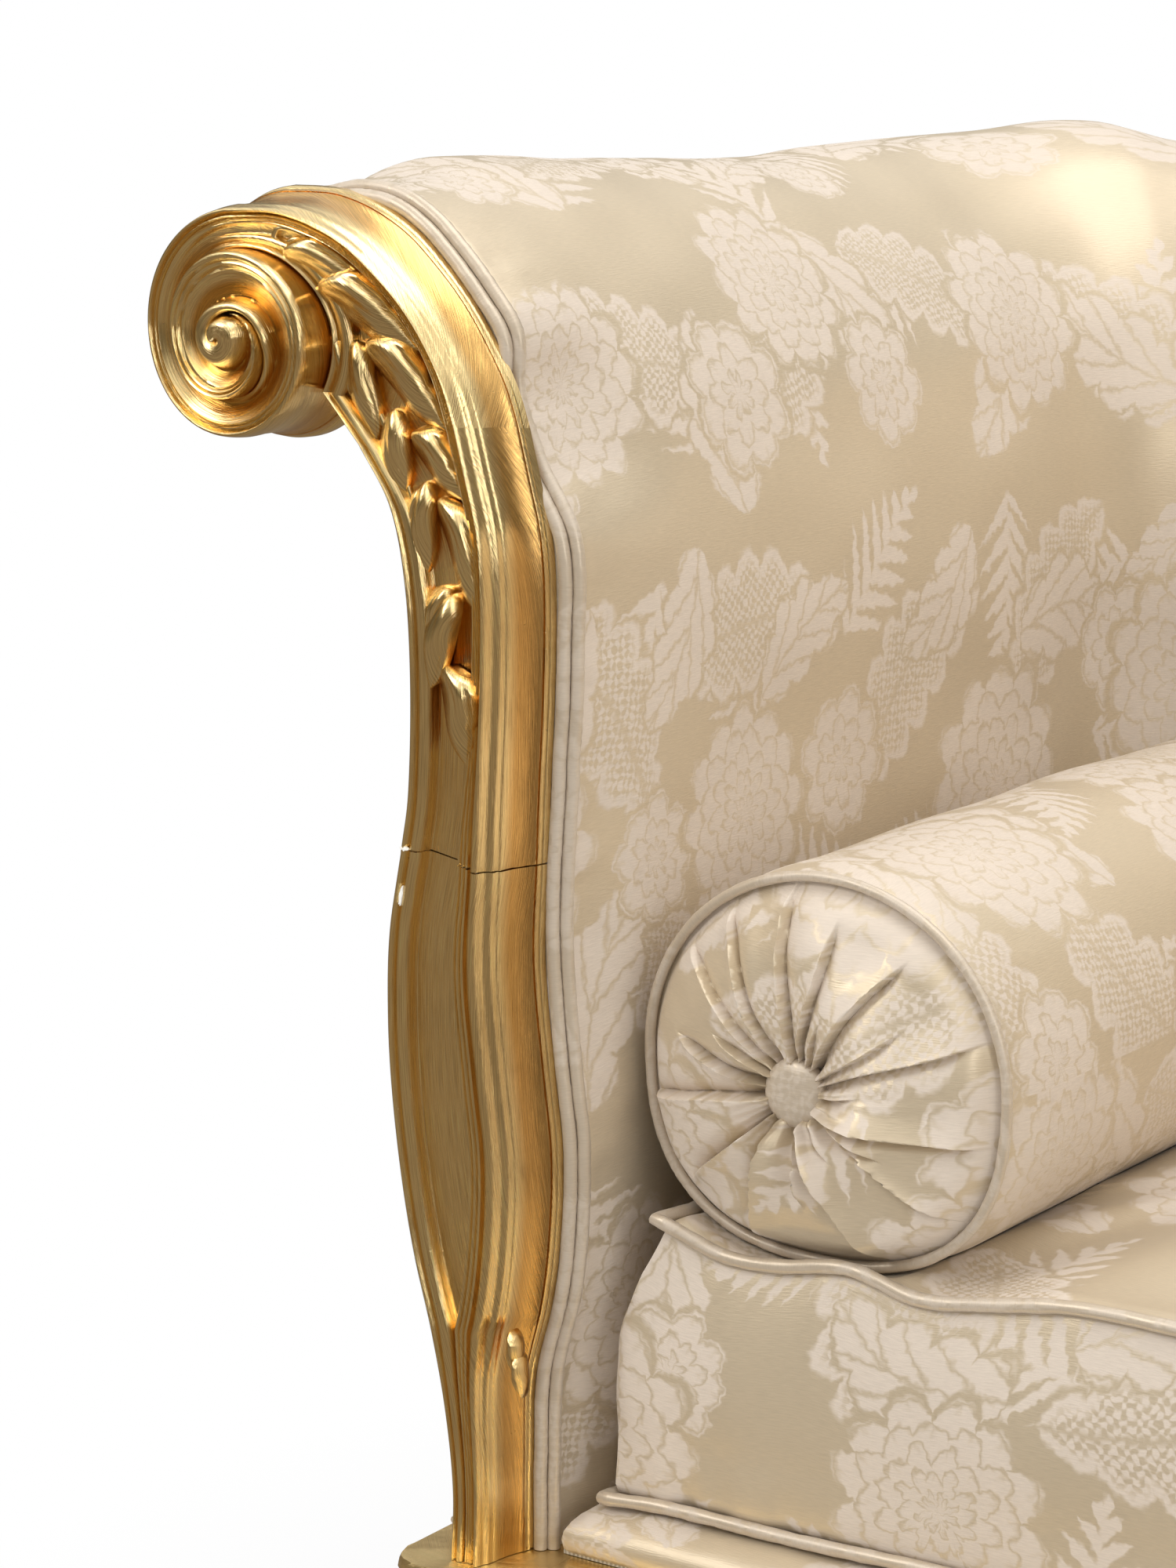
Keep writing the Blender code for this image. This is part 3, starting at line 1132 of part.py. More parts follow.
def loose_pieces():
    cushion = Cushion()
    place = (0.0, (cushion.front + cushion.rear) / 2, SEAM_Z)
    frame = lift_frame("seat_cushion_lift", place)
    mesh_object("seat_cushion", [cushion.shell()], DAMASK, frame, place)
    low = DECK_TOP_Z + 2 * GAP + PIPING_RADIUS
    top_piping = cushion.piping(SEAM_Z + PIPING_RADIUS / 2, 0.0, CUSHION_EAR)
    mesh_object("seat_piping_top", [top_piping], CORD, frame, place)
    bottom_piping = cushion.piping(low, CUSHION_INSET, CUSHION_EAR)
    mesh_object("seat_piping_bottom", [bottom_piping], CORD, frame, place)
    for side, label in ((1, "left"), (-1, "right")):
        centre = (-side * (LINE_X - BOLSTER_PLACE), BOLSTER_Z)
        front = FRONT_Y + BOLSTER_FRONT
        rear = front + BOLSTER_LENGTH
        where = (centre[0], (front + rear) / 2, BOLSTER_Z)
        hold = lift_frame("bolster_lift_" + label, where, frame)
        mesh_object("bolster_" + label, [bolster_shell(centre, front, rear)], DAMASK, hold, where)
        dimple = BOLSTER_DOME * BOLSTER_END_shares[0][1] + GAP
        seam = PIPING_RADIUS / 2
        for end, y, out in (("front", front, -1), ("rear", rear, 1)):
            cord_ring = bolster_piping(centre, y + out * seam)
            mesh_object(f"bolster_piping_{end}_{label}", [cord_ring], CORD, hold, where)
            button = button_shell(centre, y + out * dimple, out)
            mesh_object(f"bolster_button_{end}_{label}", [button], DAMASK, hold, where)


def main():
    clear_scene()
    path = Path()
    for side, label in ((1, "left"), (-1, "right")):
        carved_posts(side, label)
        upholstery(path, side, label)
    back(path)
    legs(path)
    front_rail()
    seat_frame()
    loose_pieces()


main()
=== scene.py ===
"""Looks of the gilt scroll-arm sofa: burnished carving, silk damask, piping, pleated bolsters, stage and camera."""

from functools import partialmethod
from math import pi, radians

import bmesh
import bpy
import numpy as np
from bpy.props import FloatProperty, FloatVectorProperty, PointerProperty
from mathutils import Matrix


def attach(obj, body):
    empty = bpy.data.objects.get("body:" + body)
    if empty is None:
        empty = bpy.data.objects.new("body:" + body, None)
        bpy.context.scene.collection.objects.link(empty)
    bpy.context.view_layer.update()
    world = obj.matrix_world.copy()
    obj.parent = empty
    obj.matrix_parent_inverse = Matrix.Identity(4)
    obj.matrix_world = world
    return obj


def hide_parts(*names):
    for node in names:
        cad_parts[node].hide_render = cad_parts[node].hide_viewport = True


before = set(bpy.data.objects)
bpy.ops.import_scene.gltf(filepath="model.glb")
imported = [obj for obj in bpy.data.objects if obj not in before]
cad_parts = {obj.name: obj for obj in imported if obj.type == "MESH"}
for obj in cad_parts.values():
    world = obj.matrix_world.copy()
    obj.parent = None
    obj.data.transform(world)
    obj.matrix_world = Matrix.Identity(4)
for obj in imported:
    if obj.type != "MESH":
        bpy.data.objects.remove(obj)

bl_info = {
    "name": "Gilt Scroll Arm Sofa",
    "version": (1, 0, 0),
    "blender": (4, 5, 0),
    "location": "3D Viewport > Sidebar > Sofa",
    "description": "Builds the carved, upholstered and loose pieces of a gilt scroll-arm sofa",
    "category": "Object",
}

MM = 0.001
MADE = {}
SIDES = ((1, "left"), (-1, "right"))

# The part's sizes, in metres
OVERALL_WIDTH, OVERALL_DEPTH, ARM_HEIGHT = 1.964, 0.854, 0.956
RAIL_TOP, RAIL_BOTTOM, SEAM, DECK_TOP = 0.300, 0.210, 0.4575, 0.325
POST_WIDTH, POST_DEPTH, JOINT = 0.066, 0.032, 0.643
VOLUTE_OUT, VOLUTE_Z, VOLUTE_RADIUS = 0.124, 0.8795, 0.047
PAD_PROUD, PAD_THICK, FOOT_REACH, FACE_REACH = 0.0085, 0.026, 0.026, 0.040
RING_COVE_TOP, RING_COVE_SIDE, STEM_COVE, WELT = 0.008, 0.0045, 0.014, 0.0033
CORNER = 0.14
LINE_X = OVERALL_WIDTH / 2 - VOLUTE_OUT - VOLUTE_RADIUS - RING_COVE_SIDE - PAD_PROUD - WELT
FRONT_Y = -OVERALL_DEPTH / 2 + 0.030
BACK_Y = OVERALL_DEPTH / 2 - VOLUTE_OUT - VOLUTE_RADIUS - RING_COVE_SIDE - PAD_PROUD
CORNER_X, CORNER_Y = LINE_X - CORNER, BACK_Y - CORNER
RISE = ARM_HEIGHT - RAIL_TOP
FOOT = RAIL_TOP + 0.0003
PAD_START = POST_DEPTH + 0.0003
ARM, BEND = CORNER_Y - FRONT_Y, CORNER * pi / 2
HALF_PATH = ARM + BEND + CORNER_X
# Level that the carved ornaments' heights are counted from, and where the spiral's rings begin, in turns
CARVING_Z, NECK_TURN = 0.68, -1 / 3

# Outlines of the carving from the front, in shares of the arm's rise and of the post's width: the post's two edges,
# the stem's cross lines (rise and reach outside, then inside) and the shoulder
POST_OUTER = ((0, -0.2), (0.05, -0.18), (0.11, -0.24), (0.17, -0.36), (0.23, -0.52), (0.31, -0.66), (0.4, -0.73),
              (0.47, -0.7), (0.52, -0.6))
POST_INNER = ((0, 0.17), (0.07, 0.176), (0.14, 0.21), (0.19, 0.345), (0.25, 0.426), (0.31, 0.439), (0.36, 0.38),
              (0.45, 0.29), (0.52, 0.317))
STEM = ((0.52, -0.6, 0.52, 0.317), (0.57, -0.53, 0.57, 0.34), (0.645, -0.506, 0.645, 0.38),
        (0.715, -0.545, 0.71, 0.39), (0.77, -0.67, 0.752, 0.355), (0.812, -0.94, 0.79, 0.26))
SHOULDER = ((0.75, 0.36), (0.793, 0.258), (0.846, 0.097), (0.882, -0.1), (0.912, -0.31), (0.938, -0.55),
            (0.9585, -0.78), (0.9745, -1.06), (0.9845, -1.36), (0.987, -1.62))
# Where the neck's rings end along the shoulder, by turns
NECK_PLACE = ((NECK_TURN, 0.16), (-0.25, 0.26), (-0.125, 0.55), (0, 1))
# Radius of the spiral groove in shares of the volute's, by quarter turns
SPIRAL = (1.277, 1, 0.985, 1, 0.866, 0.66, 0.605, 0.44, 0.215, 0.085, 0.022, 0.006, 0.003, 0.002, 0.002)
# Rise and reach of the pad's face and of the outside cover, the crest's lift along half the sofa, and the tuck
PAD_FACE = ((0.07, 0.8), (0.14, 0.9), (0.2, 0.97), (0.26, 1), (0.31, 1), (0.38, 0.95), (0.47, 0.9), (0.57, 0.9),
            (0.67, 0.94))
COVER = ((0.24, -0.62), (0.33, -0.69), (0.4, -0.72), (0.47, -0.7), (0.53, -0.59), (0.6, -0.52), (0.68, -0.5),
         (0.74, -0.56), (0.785, -0.73), (0.815, -0.97), (0.836, -1.2))
CREST = ((0, 0), (0.08, -0.001), (0.125, -0.002), (0.171, -0.0052), (0.213, -0.0096), (0.255, -0.014),
         (0.294, -0.0142), (0.334, -0.0116), (0.38, -0.0105), (0.41, -0.004), (0.433, 0.0048), (0.442, 0.003),
         (0.45, -0.004), (0.458, -0.012), (0.468, -0.017), (0.5, -0.019), (0.56, -0.016), (0.78, 0.018),
         (1, 0.045))
TUCK = 0.0135

# Moulding across the post, in millimetres: distance from the outer edge, then from the inner edge, with the depth
OUTER_BEADS = ((0, 2), (0.5, -1.5), (1.3, -3.4), (2.3, -4), (3.3, -3.3), (4.1, -1.4), (4.6, -0.4), (5.2, -1.8),
               (6.4, -3.4), (8.2, -4.1), (10.2, -3.7), (11.8, -2.2), (12.4, 0.6), (12.9, 3.2), (13.6, 4),
               (15.5, 4))
INNER_BEADS = ((16, 4), (15.2, 3.6), (14.8, 0.5), (14.3, -1.8), (13.6, -2.8), (12.9, -2.4), (12.3, -0.9),
               (11.8, -1.9), (11, -3), (10.2, -2.5), (9.7, -1), (9.2, -2.4), (8.4, -3.4), (7.6, -2.8), (7.1, 0),
               (6.6, 1.4), (6.1, 0.2), (5.5, -2.6), (4.3, -4.8), (2.9, -5.6), (1.6, -5), (0.7, -3.2), (0, -0.8))
# Cove behind the inner beads: share of its width, share of its depth, at the stem and round the volute
COVE_STEM = ((0, 0), (0.02, 0.05), (0.1, 0.08), (0.2, 0.11), (0.235, 0.15), (0.24, 0.21), (0.28, 0.235),
             (0.31, 0.25), (0.33, 0.33), (0.4, 0.47), (0.5, 0.6), (0.62, 0.7), (0.74, 0.765), (0.8, 0.79),
             (0.805, 0.84), (0.85, 0.815), (0.89, 0.84), (0.895, 0.89), (0.94, 0.9), (0.97, 0.94), (1, 1))
COVE_RING = ((0, 0), (0.06, 0.05), (0.1, 0.1), (0.08, 0.15), (0.02, 0.19), (0, 0.24), (0, 0.32), (0, 0.4),
             (0.02, 0.48), (0.05, 0.55), (0.1, 0.61), (0.18, 0.66), (0.3, 0.7), (0.48, 0.73), (0.5, 0.77),
             (0.6, 0.77), (0.7, 0.8), (0.72, 0.85), (0.85, 0.86), (0.97, 0.91), (1, 1))
# A volute's coil from the next groove to its outer edge: share of its width, depth in millimetres
COIL = ((0, 2.6), (0.08, 3.6), (0.18, 3.5), (0.3, 2.4), (0.42, 0.6), (0.52, -0.9), (0.6, -1.9), (0.655, -2.2),
        (0.675, -1.3), (0.69, -1.2), (0.71, -2.2), (0.745, -3), (0.78, -2.3), (0.8, -1.2), (0.815, -1.3),
        (0.84, -2.9), (0.88, -4.1), (0.92, -4.3), (0.96, -3.4), (0.985, -1.6), (1, 0))
# The volute's head, by turns: where its fat coil ends across the band, its crest, its groove, and the rim beyond
HEAD_EDGE = ((0.4, 0.1), (0.6, 0.16), (0.8, 0.22), (1, 0.27), (1.25, 0.46), (1.5, 0.5), (1.75, 0.62), (1.95, 1),
             (4, 1))
HEAD_CREST = ((0.4, -20), (0.6, -22), (0.8, -24.8), (1, -27), (1.25, -29), (1.5, -29.8), (1.75, -30.2),
              (2, -30.4), (4, -30.4))
HEAD_GROOVE = ((1.3, -16.2), (1.5, -16.8), (1.75, -18.2), (2, -20.4), (2.25, -24.6), (2.5, -27.6), (2.75, -29.3),
               (3, -30.1), (4, -30.3))
HEAD_RIM = ((0, 3.8), (0.06, 3.9), (0.2, 3), (0.36, 1.4), (0.5, -0.5), (0.58, -1.5), (0.62, -0.6), (0.66, -1.9),
            (0.74, -3), (0.79, -1.8), (0.83, -3.3), (0.9, -4), (0.96, -3), (1, -0.2))
# Laurel leaves, in millimetres from the arm line: base, tip, width, bend, roll of the right edge, height, lobe
LEAVES = ((-76, 203, -66, 170, 9, -1.5, 0, 4.5, 0), (-28, 135, -35, 108, 9, -1.5, 0.2, 5, 0),
          (-51, 197, -25, 184, 15, 2, 0.3, 5.5, 0), (-12, 90, -26, 65, 12, -2, 0.2, 5.5, 0),
          (-9, 87, -22, 42, 19, -2.5, 0.3, 7.5, 0), (-12, 54, -1, 8, 22, 3.5, 0.9, 7.5, 0.7),
          (-24, 138, -27, 92, 16, -2.5, 0.2, 7, 0), (-17, 131, 6, 76, 20, 3.5, 1, 7.5, 0.9),
          (-42, 170, -40, 126, 18, -2, 0.2, 7, 0), (-32, 160, -3, 130, 21, 3, 1, 8, 0.9),
          (-63, 200, -54, 154, 18, -2.5, 0.3, 7, 0), (-57, 200, -13, 161, 24, 4, 1, 8.5, 0.8),
          (-81, 225, -28, 197, 26, 4, 0.9, 9, 0.6), (-97, 240, -51, 222, 20, 2.5, 0.8, 7.5, 0.5))
BUD_CURL = ((-97, 243), (-92, 245.5), (-87, 244), (-86.5, 240), (-90, 238), (-95, 239.5), (-99, 243),
            (-102, 246.5), (-100, 250), (-94, 250), (-86, 247))
SPRAY_STEM = ((-107, 247), (-101, 243), (-93, 235), (-84, 224), (-76, 211), (-70, 197), (-62, 183), (-52, 166),
              (-42, 148), (-34, 128))
# The bud at the post's foot: base and tip, width, bend, how tall each leaf is, and how deep it lies
BUD = ((18.2, -261, 19.5, -283, 9, 0.6, 6.5, 7), (21.5, -272, 23, -294, 8, -0.5, 7, 8))
# White gesso laid bare where the gilding is chipped: place across, height, half sizes, tilt, depth and dome
CHIPS = ((-36.5, -34.6, 2.6, 1.1, 0.1, -3.6, 0.35), (-38.6, -57.5, 0.9, 4.6, -0.16, -3.6, 0.35),
         (-8, -38.6, 0.6, 0.5, 0, 3.7, 0.5), (4, -41.5, 1.1, 0.8, 0, -2.8, 0.5))
# Pleats of a bolster's end, as its front shows them: angle in degrees, reach, depth, bend
PLEATS = ((140, 0.93, 1, 0.05), (121, 0.95, 1.15, -0.05), (100, 0.97, 1.2, 0.1), (79, 0.84, 1.1, 0.02),
          (52, 0.84, 1.2, -0.06), (33, 0.66, 0.7, 0.05), (18, 0.93, 1, -0.04), (-10, 0.93, 1.5, 0.12),
          (-38, 0.93, 1.7, -0.1), (-72, 0.95, 2.1, 0.02), (-88, 0.62, 2.2, -0.12), (-103, 0.93, 2, 0.16),
          (-136, 0.84, 2.1, -0.05), (-170, 0.93, 1.9, 0.02), (168, 0.72, 1.4, -0.1), (152, 0.5, 0.9, 0.1),
          (65, 0.42, 0.8, 0), (-25, 0.55, 1.2, 0.1), (-55, 0.4, 0.8, 0), (4, 0.38, 1, 0))


# Shapes


def curve(rows, at):
    """Smooth curve through rows of (place, value, ...), with the mean slope m at each row.

    Between two rows, t from 0 to 1 over the width w: p = a(1+2t)(1-t)^2 + m w t(1-t)^2 + b t^2(3-2t) - n w t^2(1-t).
    """
    rows = np.array(rows, float)
    places, values = rows[:, 0], rows[:, 1:]
    steps = np.diff(places)[:, None]
    rise = np.diff(values, axis=0) / steps
    slopes = np.empty_like(values)
    slopes[1:-1] = (rise[:-1] * steps[1:] + rise[1:] * steps[:-1]) / (steps[1:] + steps[:-1])
    slopes[0], slopes[-1] = rise[0], rise[-1]
    k = np.clip(np.searchsorted(places, at) - 1, 0, len(places) - 2)
    w = steps[k]
    t = np.clip((at - places[k])[:, None] / w, 0, 1)
    ahead = values[k + 1] * t * t * (3 - 2 * t) - slopes[k + 1] * w * t * t * (1 - t)
    return values[k] * (1 + 2 * t) * (1 - t) ** 2 + slopes[k] * w * t * (1 - t) ** 2 + ahead


def graph(rows, at):
    """The curve through rows of (place, value), read at places of any shape."""
    return curve(rows, np.ravel(at).astype(float))[:, 0].reshape(np.shape(at))


def ease(t):
    """Smooth step: 3t^2 - 2t^3 between 0 and 1."""
    t = np.clip(t, 0, 1)
    return t * t * (3 - 2 * t)


def bell(x, width):
    """exp(-(x / width)^2)."""
    return np.exp(-((x / width) ** 2))


def cols(*parts):
    """Points from their coordinates, each an array or one number for all."""
    return np.stack(np.broadcast_arrays(*parts), -1)


def lap(grid):
    """A grid with its first column once more at its end."""
    return np.concatenate((grid, grid[:, :1]), 1)


def unit(ways):
    """Vectors brought to length 1."""
    return ways / np.linalg.norm(ways, axis=-1, keepdims=True)


def circle(count):
    """Angles at even steps round one turn."""
    return 2 * pi * np.arange(count) / count


def ripple(points, size, seed, waves=8):
    """Smooth uneven field of about -1 to 1: the mean of sin(2 pi d.p / size + phase) over seeded directions d."""
    rng = np.random.default_rng(seed)
    ways = rng.normal(size=(waves, points.shape[-1]))
    ways *= rng.uniform(0.6, 1.7, (waves, 1)) / np.linalg.norm(ways, axis=1)[:, None]
    return 1.8 * np.sin(2 * pi * (points @ ways.T) / size + rng.uniform(0, 2 * pi, waves)).mean(-1)


def offset(line, distance):
    """A flat line moved sideways, to the left of its direction."""
    way = unit(np.gradient(line, axis=0))
    return line + distance * cols(-way[:, 1], way[:, 0])


def lengths(grid, axis=0):
    """Running length from 0 along one axis of a line or grid of points."""
    step = np.linalg.norm(np.diff(grid, axis=axis), axis=-1)
    return np.concatenate((np.zeros_like(np.take(step, [0], axis)), np.cumsum(step, axis)), axis)


def even(line, count):
    """Points at even steps along a line, smooth through its own points."""
    run = lengths(line)
    return curve(np.column_stack((run, line)), np.linspace(0, run[-1], count))


def own_uv(grid):
    """Places on a grid's surface: running lengths round its rings and along them."""
    return np.stack((lengths(lap(grid), 1), lengths(lap(grid))), -1)


def swept_uv(grid, s):
    """Places on a swept grid: s along the sofa's line and the running length round."""
    return cols(s[:, None], lengths(lap(grid), 1))


def solid(name, grid, look, uv=None, loop=False, smooth=50, hollow_shade=None):
    """One closed mesh over a grid of rings of points: quads between rings, and caps or, for a loop, a joint."""
    count, ring = grid.shape[:2]
    r, c, order = np.arange(count if loop else count - 1)[:, None], np.arange(ring)[None], np.arange(ring)
    r2, c2, wide = (r + 1) % count, (c + 1) % ring, ring + 1
    faces = np.stack((r * ring + c, r * ring + c2, r2 * ring + c2, r2 * ring + c), -1).reshape(-1, 4).tolist()
    corners = np.stack((r * wide + c, r * wide + c + 1, (r + 1) * wide + c + 1, (r + 1) * wide + c), -1).ravel()
    if not loop:
        faces += [order[::-1].tolist(), (order + (count - 1) * ring).tolist()]
        corners = np.concatenate((corners, order[::-1], order + (count - 1) * wide))
    mesh = bpy.data.meshes.new(name)
    mesh.from_pydata(grid.reshape(-1, 3).tolist(), [], faces)
    if uv is not None:
        mesh.uv_layers.new(name="metres").data.foreach_set("uv", uv.reshape(-1, 2)[corners].ravel())
    # Painted shade in the hollows, 0 to 1, kept on each point for the gold's colour.
    if hollow_shade is not None:
        mesh.attributes.new("hollow_shade", "FLOAT", "POINT").data.foreach_set("value", np.ravel(hollow_shade))
    work = bmesh.new()
    work.from_mesh(mesh)
    bmesh.ops.recalc_face_normals(work, faces=work.faces)
    work.to_mesh(mesh)
    work.free()
    mesh.shade_smooth()
    mesh.set_sharp_from_angle(angle=radians(smooth))
    mesh.materials.append(look)
    obj = bpy.data.objects.new(name, mesh)
    bpy.context.scene.collection.objects.link(obj)
    return obj


def tube(name, line, girth, radius, look, sides, across=(0, 0, 1), loop=False, hollow_shade=None):
    """A cord whose girth may vary about its radius, lying in a line.

    Rings p + r (cos a * n1 + sin a * n2), n1 square to the line and to one fixed way across, n2 to both.
    """
    way = unit(np.roll(line, -1, 0) - np.roll(line, 1, 0) if loop else np.gradient(line, axis=0))
    first = unit(np.cross(way, across))
    second, angle = np.cross(way, first), circle(sides)
    girth = girth if np.ndim(girth) > 1 else np.reshape(girth, (-1, 1))
    grid = line[:, None] + (girth * np.cos(angle))[..., None] * first[:, None]
    grid = grid + (girth * np.sin(angle))[..., None] * second[:, None]
    run = lengths(np.vstack((line, line[:1])) if loop else line)
    uv = cols(np.linspace(0, 2 * pi * radius, sides + 1), run[:, None])
    return solid(name, grid, looks()[look], uv, loop, hollow_shade=hollow_shade)


def piece(obj, body, node_name=None):
    """Puts a piece on the body it rides on and hides the CAD node it stands for (True: its namesake)."""
    name = obj.name.replace(" ", "_")
    obj.name = name
    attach(obj, body)
    if node_name:
        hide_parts(name if node_name is True else node_name)


def edge_point(rise, reach):
    """Places on the carved front from shares of its height and width."""
    return cols(np.multiply(reach, POST_WIDTH), RAIL_TOP + np.multiply(rise, RISE))


def groove_radius(turn):
    """Radius of the spiral groove, by turns from the top."""
    return graph([(0.25 * k, share * VOLUTE_RADIUS) for k, share in enumerate(SPIRAL)], turn)


def ring_cove(turn):
    """Width of the cove round the volute, narrower after its top."""
    return RING_COVE_SIDE + (RING_COVE_TOP - RING_COVE_SIDE) * (1 - ease(turn / 0.25))


def volute_point(turn, radius):
    """(-out + r cos a, up + r sin a), with a = 2 pi turn + pi/2."""
    angle = 2 * pi * turn + pi / 2
    return cols(-VOLUTE_OUT + radius * np.cos(angle), VOLUTE_Z + radius * np.sin(angle))


def turn_at(x, z):
    """Turns round the volute of a place, from its top anticlockwise."""
    return (np.arctan2(z - VOLUTE_Z, x + VOLUTE_OUT) - pi / 2) / (2 * pi)


def relief(turn):
    """How far the volute comes forward: level at the stem, then 18 mm, then winding forward to the eye."""
    return -0.018 * ease((turn + 0.25) / 0.30) - 0.0031 * np.clip(turn, 0, 2.2)


def relief_at(x, z):
    """The carving's lift at a point of the neck, by its turn round the volute."""
    turn = turn_at(x, z)
    return relief(np.where(turn < -0.5, turn + 1, turn))


def head_depth(turn, width, share):
    """Depth across the volute's last windings, from the lift: a round coil to its edge, then the rim."""
    edge, crest, inner, outer = (graph(table, at)[:, None] for table, at in (
        (HEAD_EDGE, turn), (HEAD_CREST, turn), (HEAD_GROOVE, turn + 1), (HEAD_GROOVE, turn)))
    small = np.minimum(1, (1 - edge) * width / (13 * MM))
    base = relief(turn)[:, None] / MM
    last = ease((turn - 1.75) / 0.2)[:, None]
    stop = (base + 3.8 * small) * (1 - last) + outer * last
    top = 0.45
    q = np.minimum(share[None] / edge, 1)
    coil = np.where(q < top, crest + (inner - crest) * np.abs(1 - q / top) ** 2.6,
                    crest + (stop - crest) * (np.abs(q - top) / (1 - top)) ** 3)
    beyond = np.clip((share[None] - edge) / np.maximum(1 - edge, 0.02), 0, 1)
    rim = base + graph(HEAD_RIM, beyond) * small
    return (np.where((share[None] < edge) | (edge > 0.985), coil, rim) - base) * MM


def joint_slant(x, z):
    """How the glue joint slopes: lower towards the middle, fading away above and below it."""
    drop = ((-0.045, 0.0028), (-0.036, 0.0024), (-0.02, 0.0012), (-0.004, -0.002), (0.01, -0.004), (0.03, -0.002))
    return graph(drop, x) * bell(z - JOINT, 0.016)


def lifted(s, z):
    """Height raised or lowered with the crest, most at the roll."""
    share = s / HALF_PATH
    lift = graph(CREST, np.minimum(share, 2 - share)) * RISE
    start = RAIL_TOP + 0.25 * RISE
    return z + lift[:, None] * ease((z - start) / (VOLUTE_Z - start))


def along_path(s, reach, z):
    """Points at s along the sofa's line, reach towards the seat and height z: arm, corner arc, back, corner, arm."""
    t = np.minimum(s, 2 * HALF_PATH - s)
    side = np.where(s <= HALF_PATH, 1, -1)
    bend = np.clip((t - ARM) / CORNER, 0, pi / 2)
    x = -CORNER_X - CORNER * np.cos(bend) + np.maximum(t - ARM - BEND, 0)
    y = np.where(t < ARM, FRONT_Y + t, CORNER_Y + CORNER * np.sin(bend))
    z = lifted(s, np.broadcast_to(z, (len(s), np.shape(z)[-1])))
    px = side[:, None] * (x[:, None] + np.cos(bend)[:, None] * reach)
    return cols(px, y[:, None] - np.sin(bend)[:, None] * reach, z)


def spans(start, arm_end, back_start):
    """Stretches of the sofa's line for the left arm, the back and the right arm."""
    full = 2 * HALF_PATH
    return (start, arm_end), (back_start, full - back_start), (full - arm_end, full - start)


def pad_foot():
    """The pad's face from its foot to the shoulder, before it rolls over."""
    return np.array([(FOOT_REACH, FOOT)] + [(reach * FACE_REACH, RAIL_TOP + rise * RISE) for rise, reach in PAD_FACE])


def over_the_top(foot, out):
    """A line from foot points over the shoulder and round the volute, moved out from the carved edge."""
    turns = np.array((0, 0.08, 0.16, 0.24, 0.32, 0.4, 0.48, 0.555, 0.63))
    shoulder = offset(edge_point(*np.array(SHOULDER).T), -out)
    return np.vstack((foot, shoulder, volute_point(turns, groove_radius(turns) + ring_cove(turns) + out)))


def pad_face():
    """The pad's face from its foot to the end of its roll."""
    return over_the_top(pad_foot(), PAD_PROUD)


def wood_line(out):
    """The rear edge of the carved wood moved out, with a point for each point of the pad's face."""
    heights = pad_foot()[:, 1]
    rows = [*POST_INNER[:-1], *(row[2:] for row in STEM)]
    return over_the_top(cols(graph(rows, (heights - RAIL_TOP) / RISE) * POST_WIDTH + out, heights), out)


def tucked(line, share):
    """Draws a line in round the volute after its top, where the cloth goes behind the carved ring."""
    turn = turn_at(*line.T) % 1
    turn = np.where(turn > 0.75, turn - 1, turn)
    near = ease((turn + 0.14) / 0.14) * (line[:, 1] > VOLUTE_Z - 0.075)
    return line - unit(line - (-VOLUTE_OUT, VOLUTE_Z)) * (TUCK * share * near)[:, None]


# Shader building


class Value:
    """A number in a shader tree: arithmetic with it adds Math nodes."""

    def __init__(self, tree, socket):
        self.tree, self.socket = tree, socket

    def math(self, operation, *others):
        made = node(self.tree, "Math", {"operation": operation})
        return out(feed(made, **{f"i{k}": value for k, value in enumerate((self, *others))}))

    __add__ = __radd__ = partialmethod(math, "ADD")
    __mul__ = __rmul__ = partialmethod(math, "MULTIPLY")
    __sub__ = partialmethod(math, "SUBTRACT")
    __truediv__ = partialmethod(math, "DIVIDE")
    __pow__ = partialmethod(math, "POWER")
    abs, sin, fract = partialmethod(math, "ABSOLUTE"), partialmethod(math, "SINE"), partialmethod(math, "FRACT")
    floor, max = partialmethod(math, "FLOOR"), partialmethod(math, "MAXIMUM")

    def __rsub__(self, other):
        return (self * -1.0) + other

    def clamp(self):
        return out(node(self.tree, "Clamp", i0=self))


def feed(made, **inputs):
    """Links or sets a node's inputs, each given by its name, with _ for a space, or as i and its number."""
    for label, value in inputs.items():
        place = made.inputs[int(label[1:]) if label[1:].isdigit() else label.replace("_", " ")]
        if isinstance(value, Value):
            made.id_data.links.new(value.socket, place)
        else:
            place.default_value = value
    return made


def node(tree, kind, settings=None, **inputs):
    made = tree.nodes.new("ShaderNode" + kind)
    for label, value in (settings or {}).items():
        setattr(made, label, value)
    return feed(made, **inputs)


def out(made, label=0):
    return Value(made.id_data, made.outputs[label])


def mixed(share, first, second):
    """A colour between two."""
    first, second = (colour if isinstance(colour, Value) else (*colour, 1.0) for colour in (first, second))
    return out(node(share.tree, "Mix", {"data_type": "RGBA"}, i0=share, i6=first, i7=second), 2)


def shaded(colour, value):
    """A colour made lighter or darker."""
    return out(node(colour.tree, "HueSaturation", Color=colour, Value=value))


def noise(place, scale=5.0, detail=2.0, stretch=None, flat=True):
    """Smooth noise about 0.5, over a plane or a volume."""
    if stretch:
        place = out(node(place.tree, "Mapping", Vector=place, Scale=stretch))
    dimensions = {"noise_dimensions": "2D" if flat else "3D"}
    return out(node(place.tree, "TexNoise", dimensions, Vector=place, Scale=scale, Detail=detail))


def split(vector):
    """A vector's three numbers."""
    made = node(vector.tree, "SeparateXYZ", Vector=vector)
    return [out(made, k) for k in range(3)]


def joined(x, y, z=0.0):
    return out(node(x.tree, "CombineXYZ", X=x, Y=y, Z=z))


def bumps(height, strength, distance):
    """A normal bent by a height, over a distance in metres."""
    return out(node(height.tree, "Bump", Strength=strength, Distance=distance, Height=height))


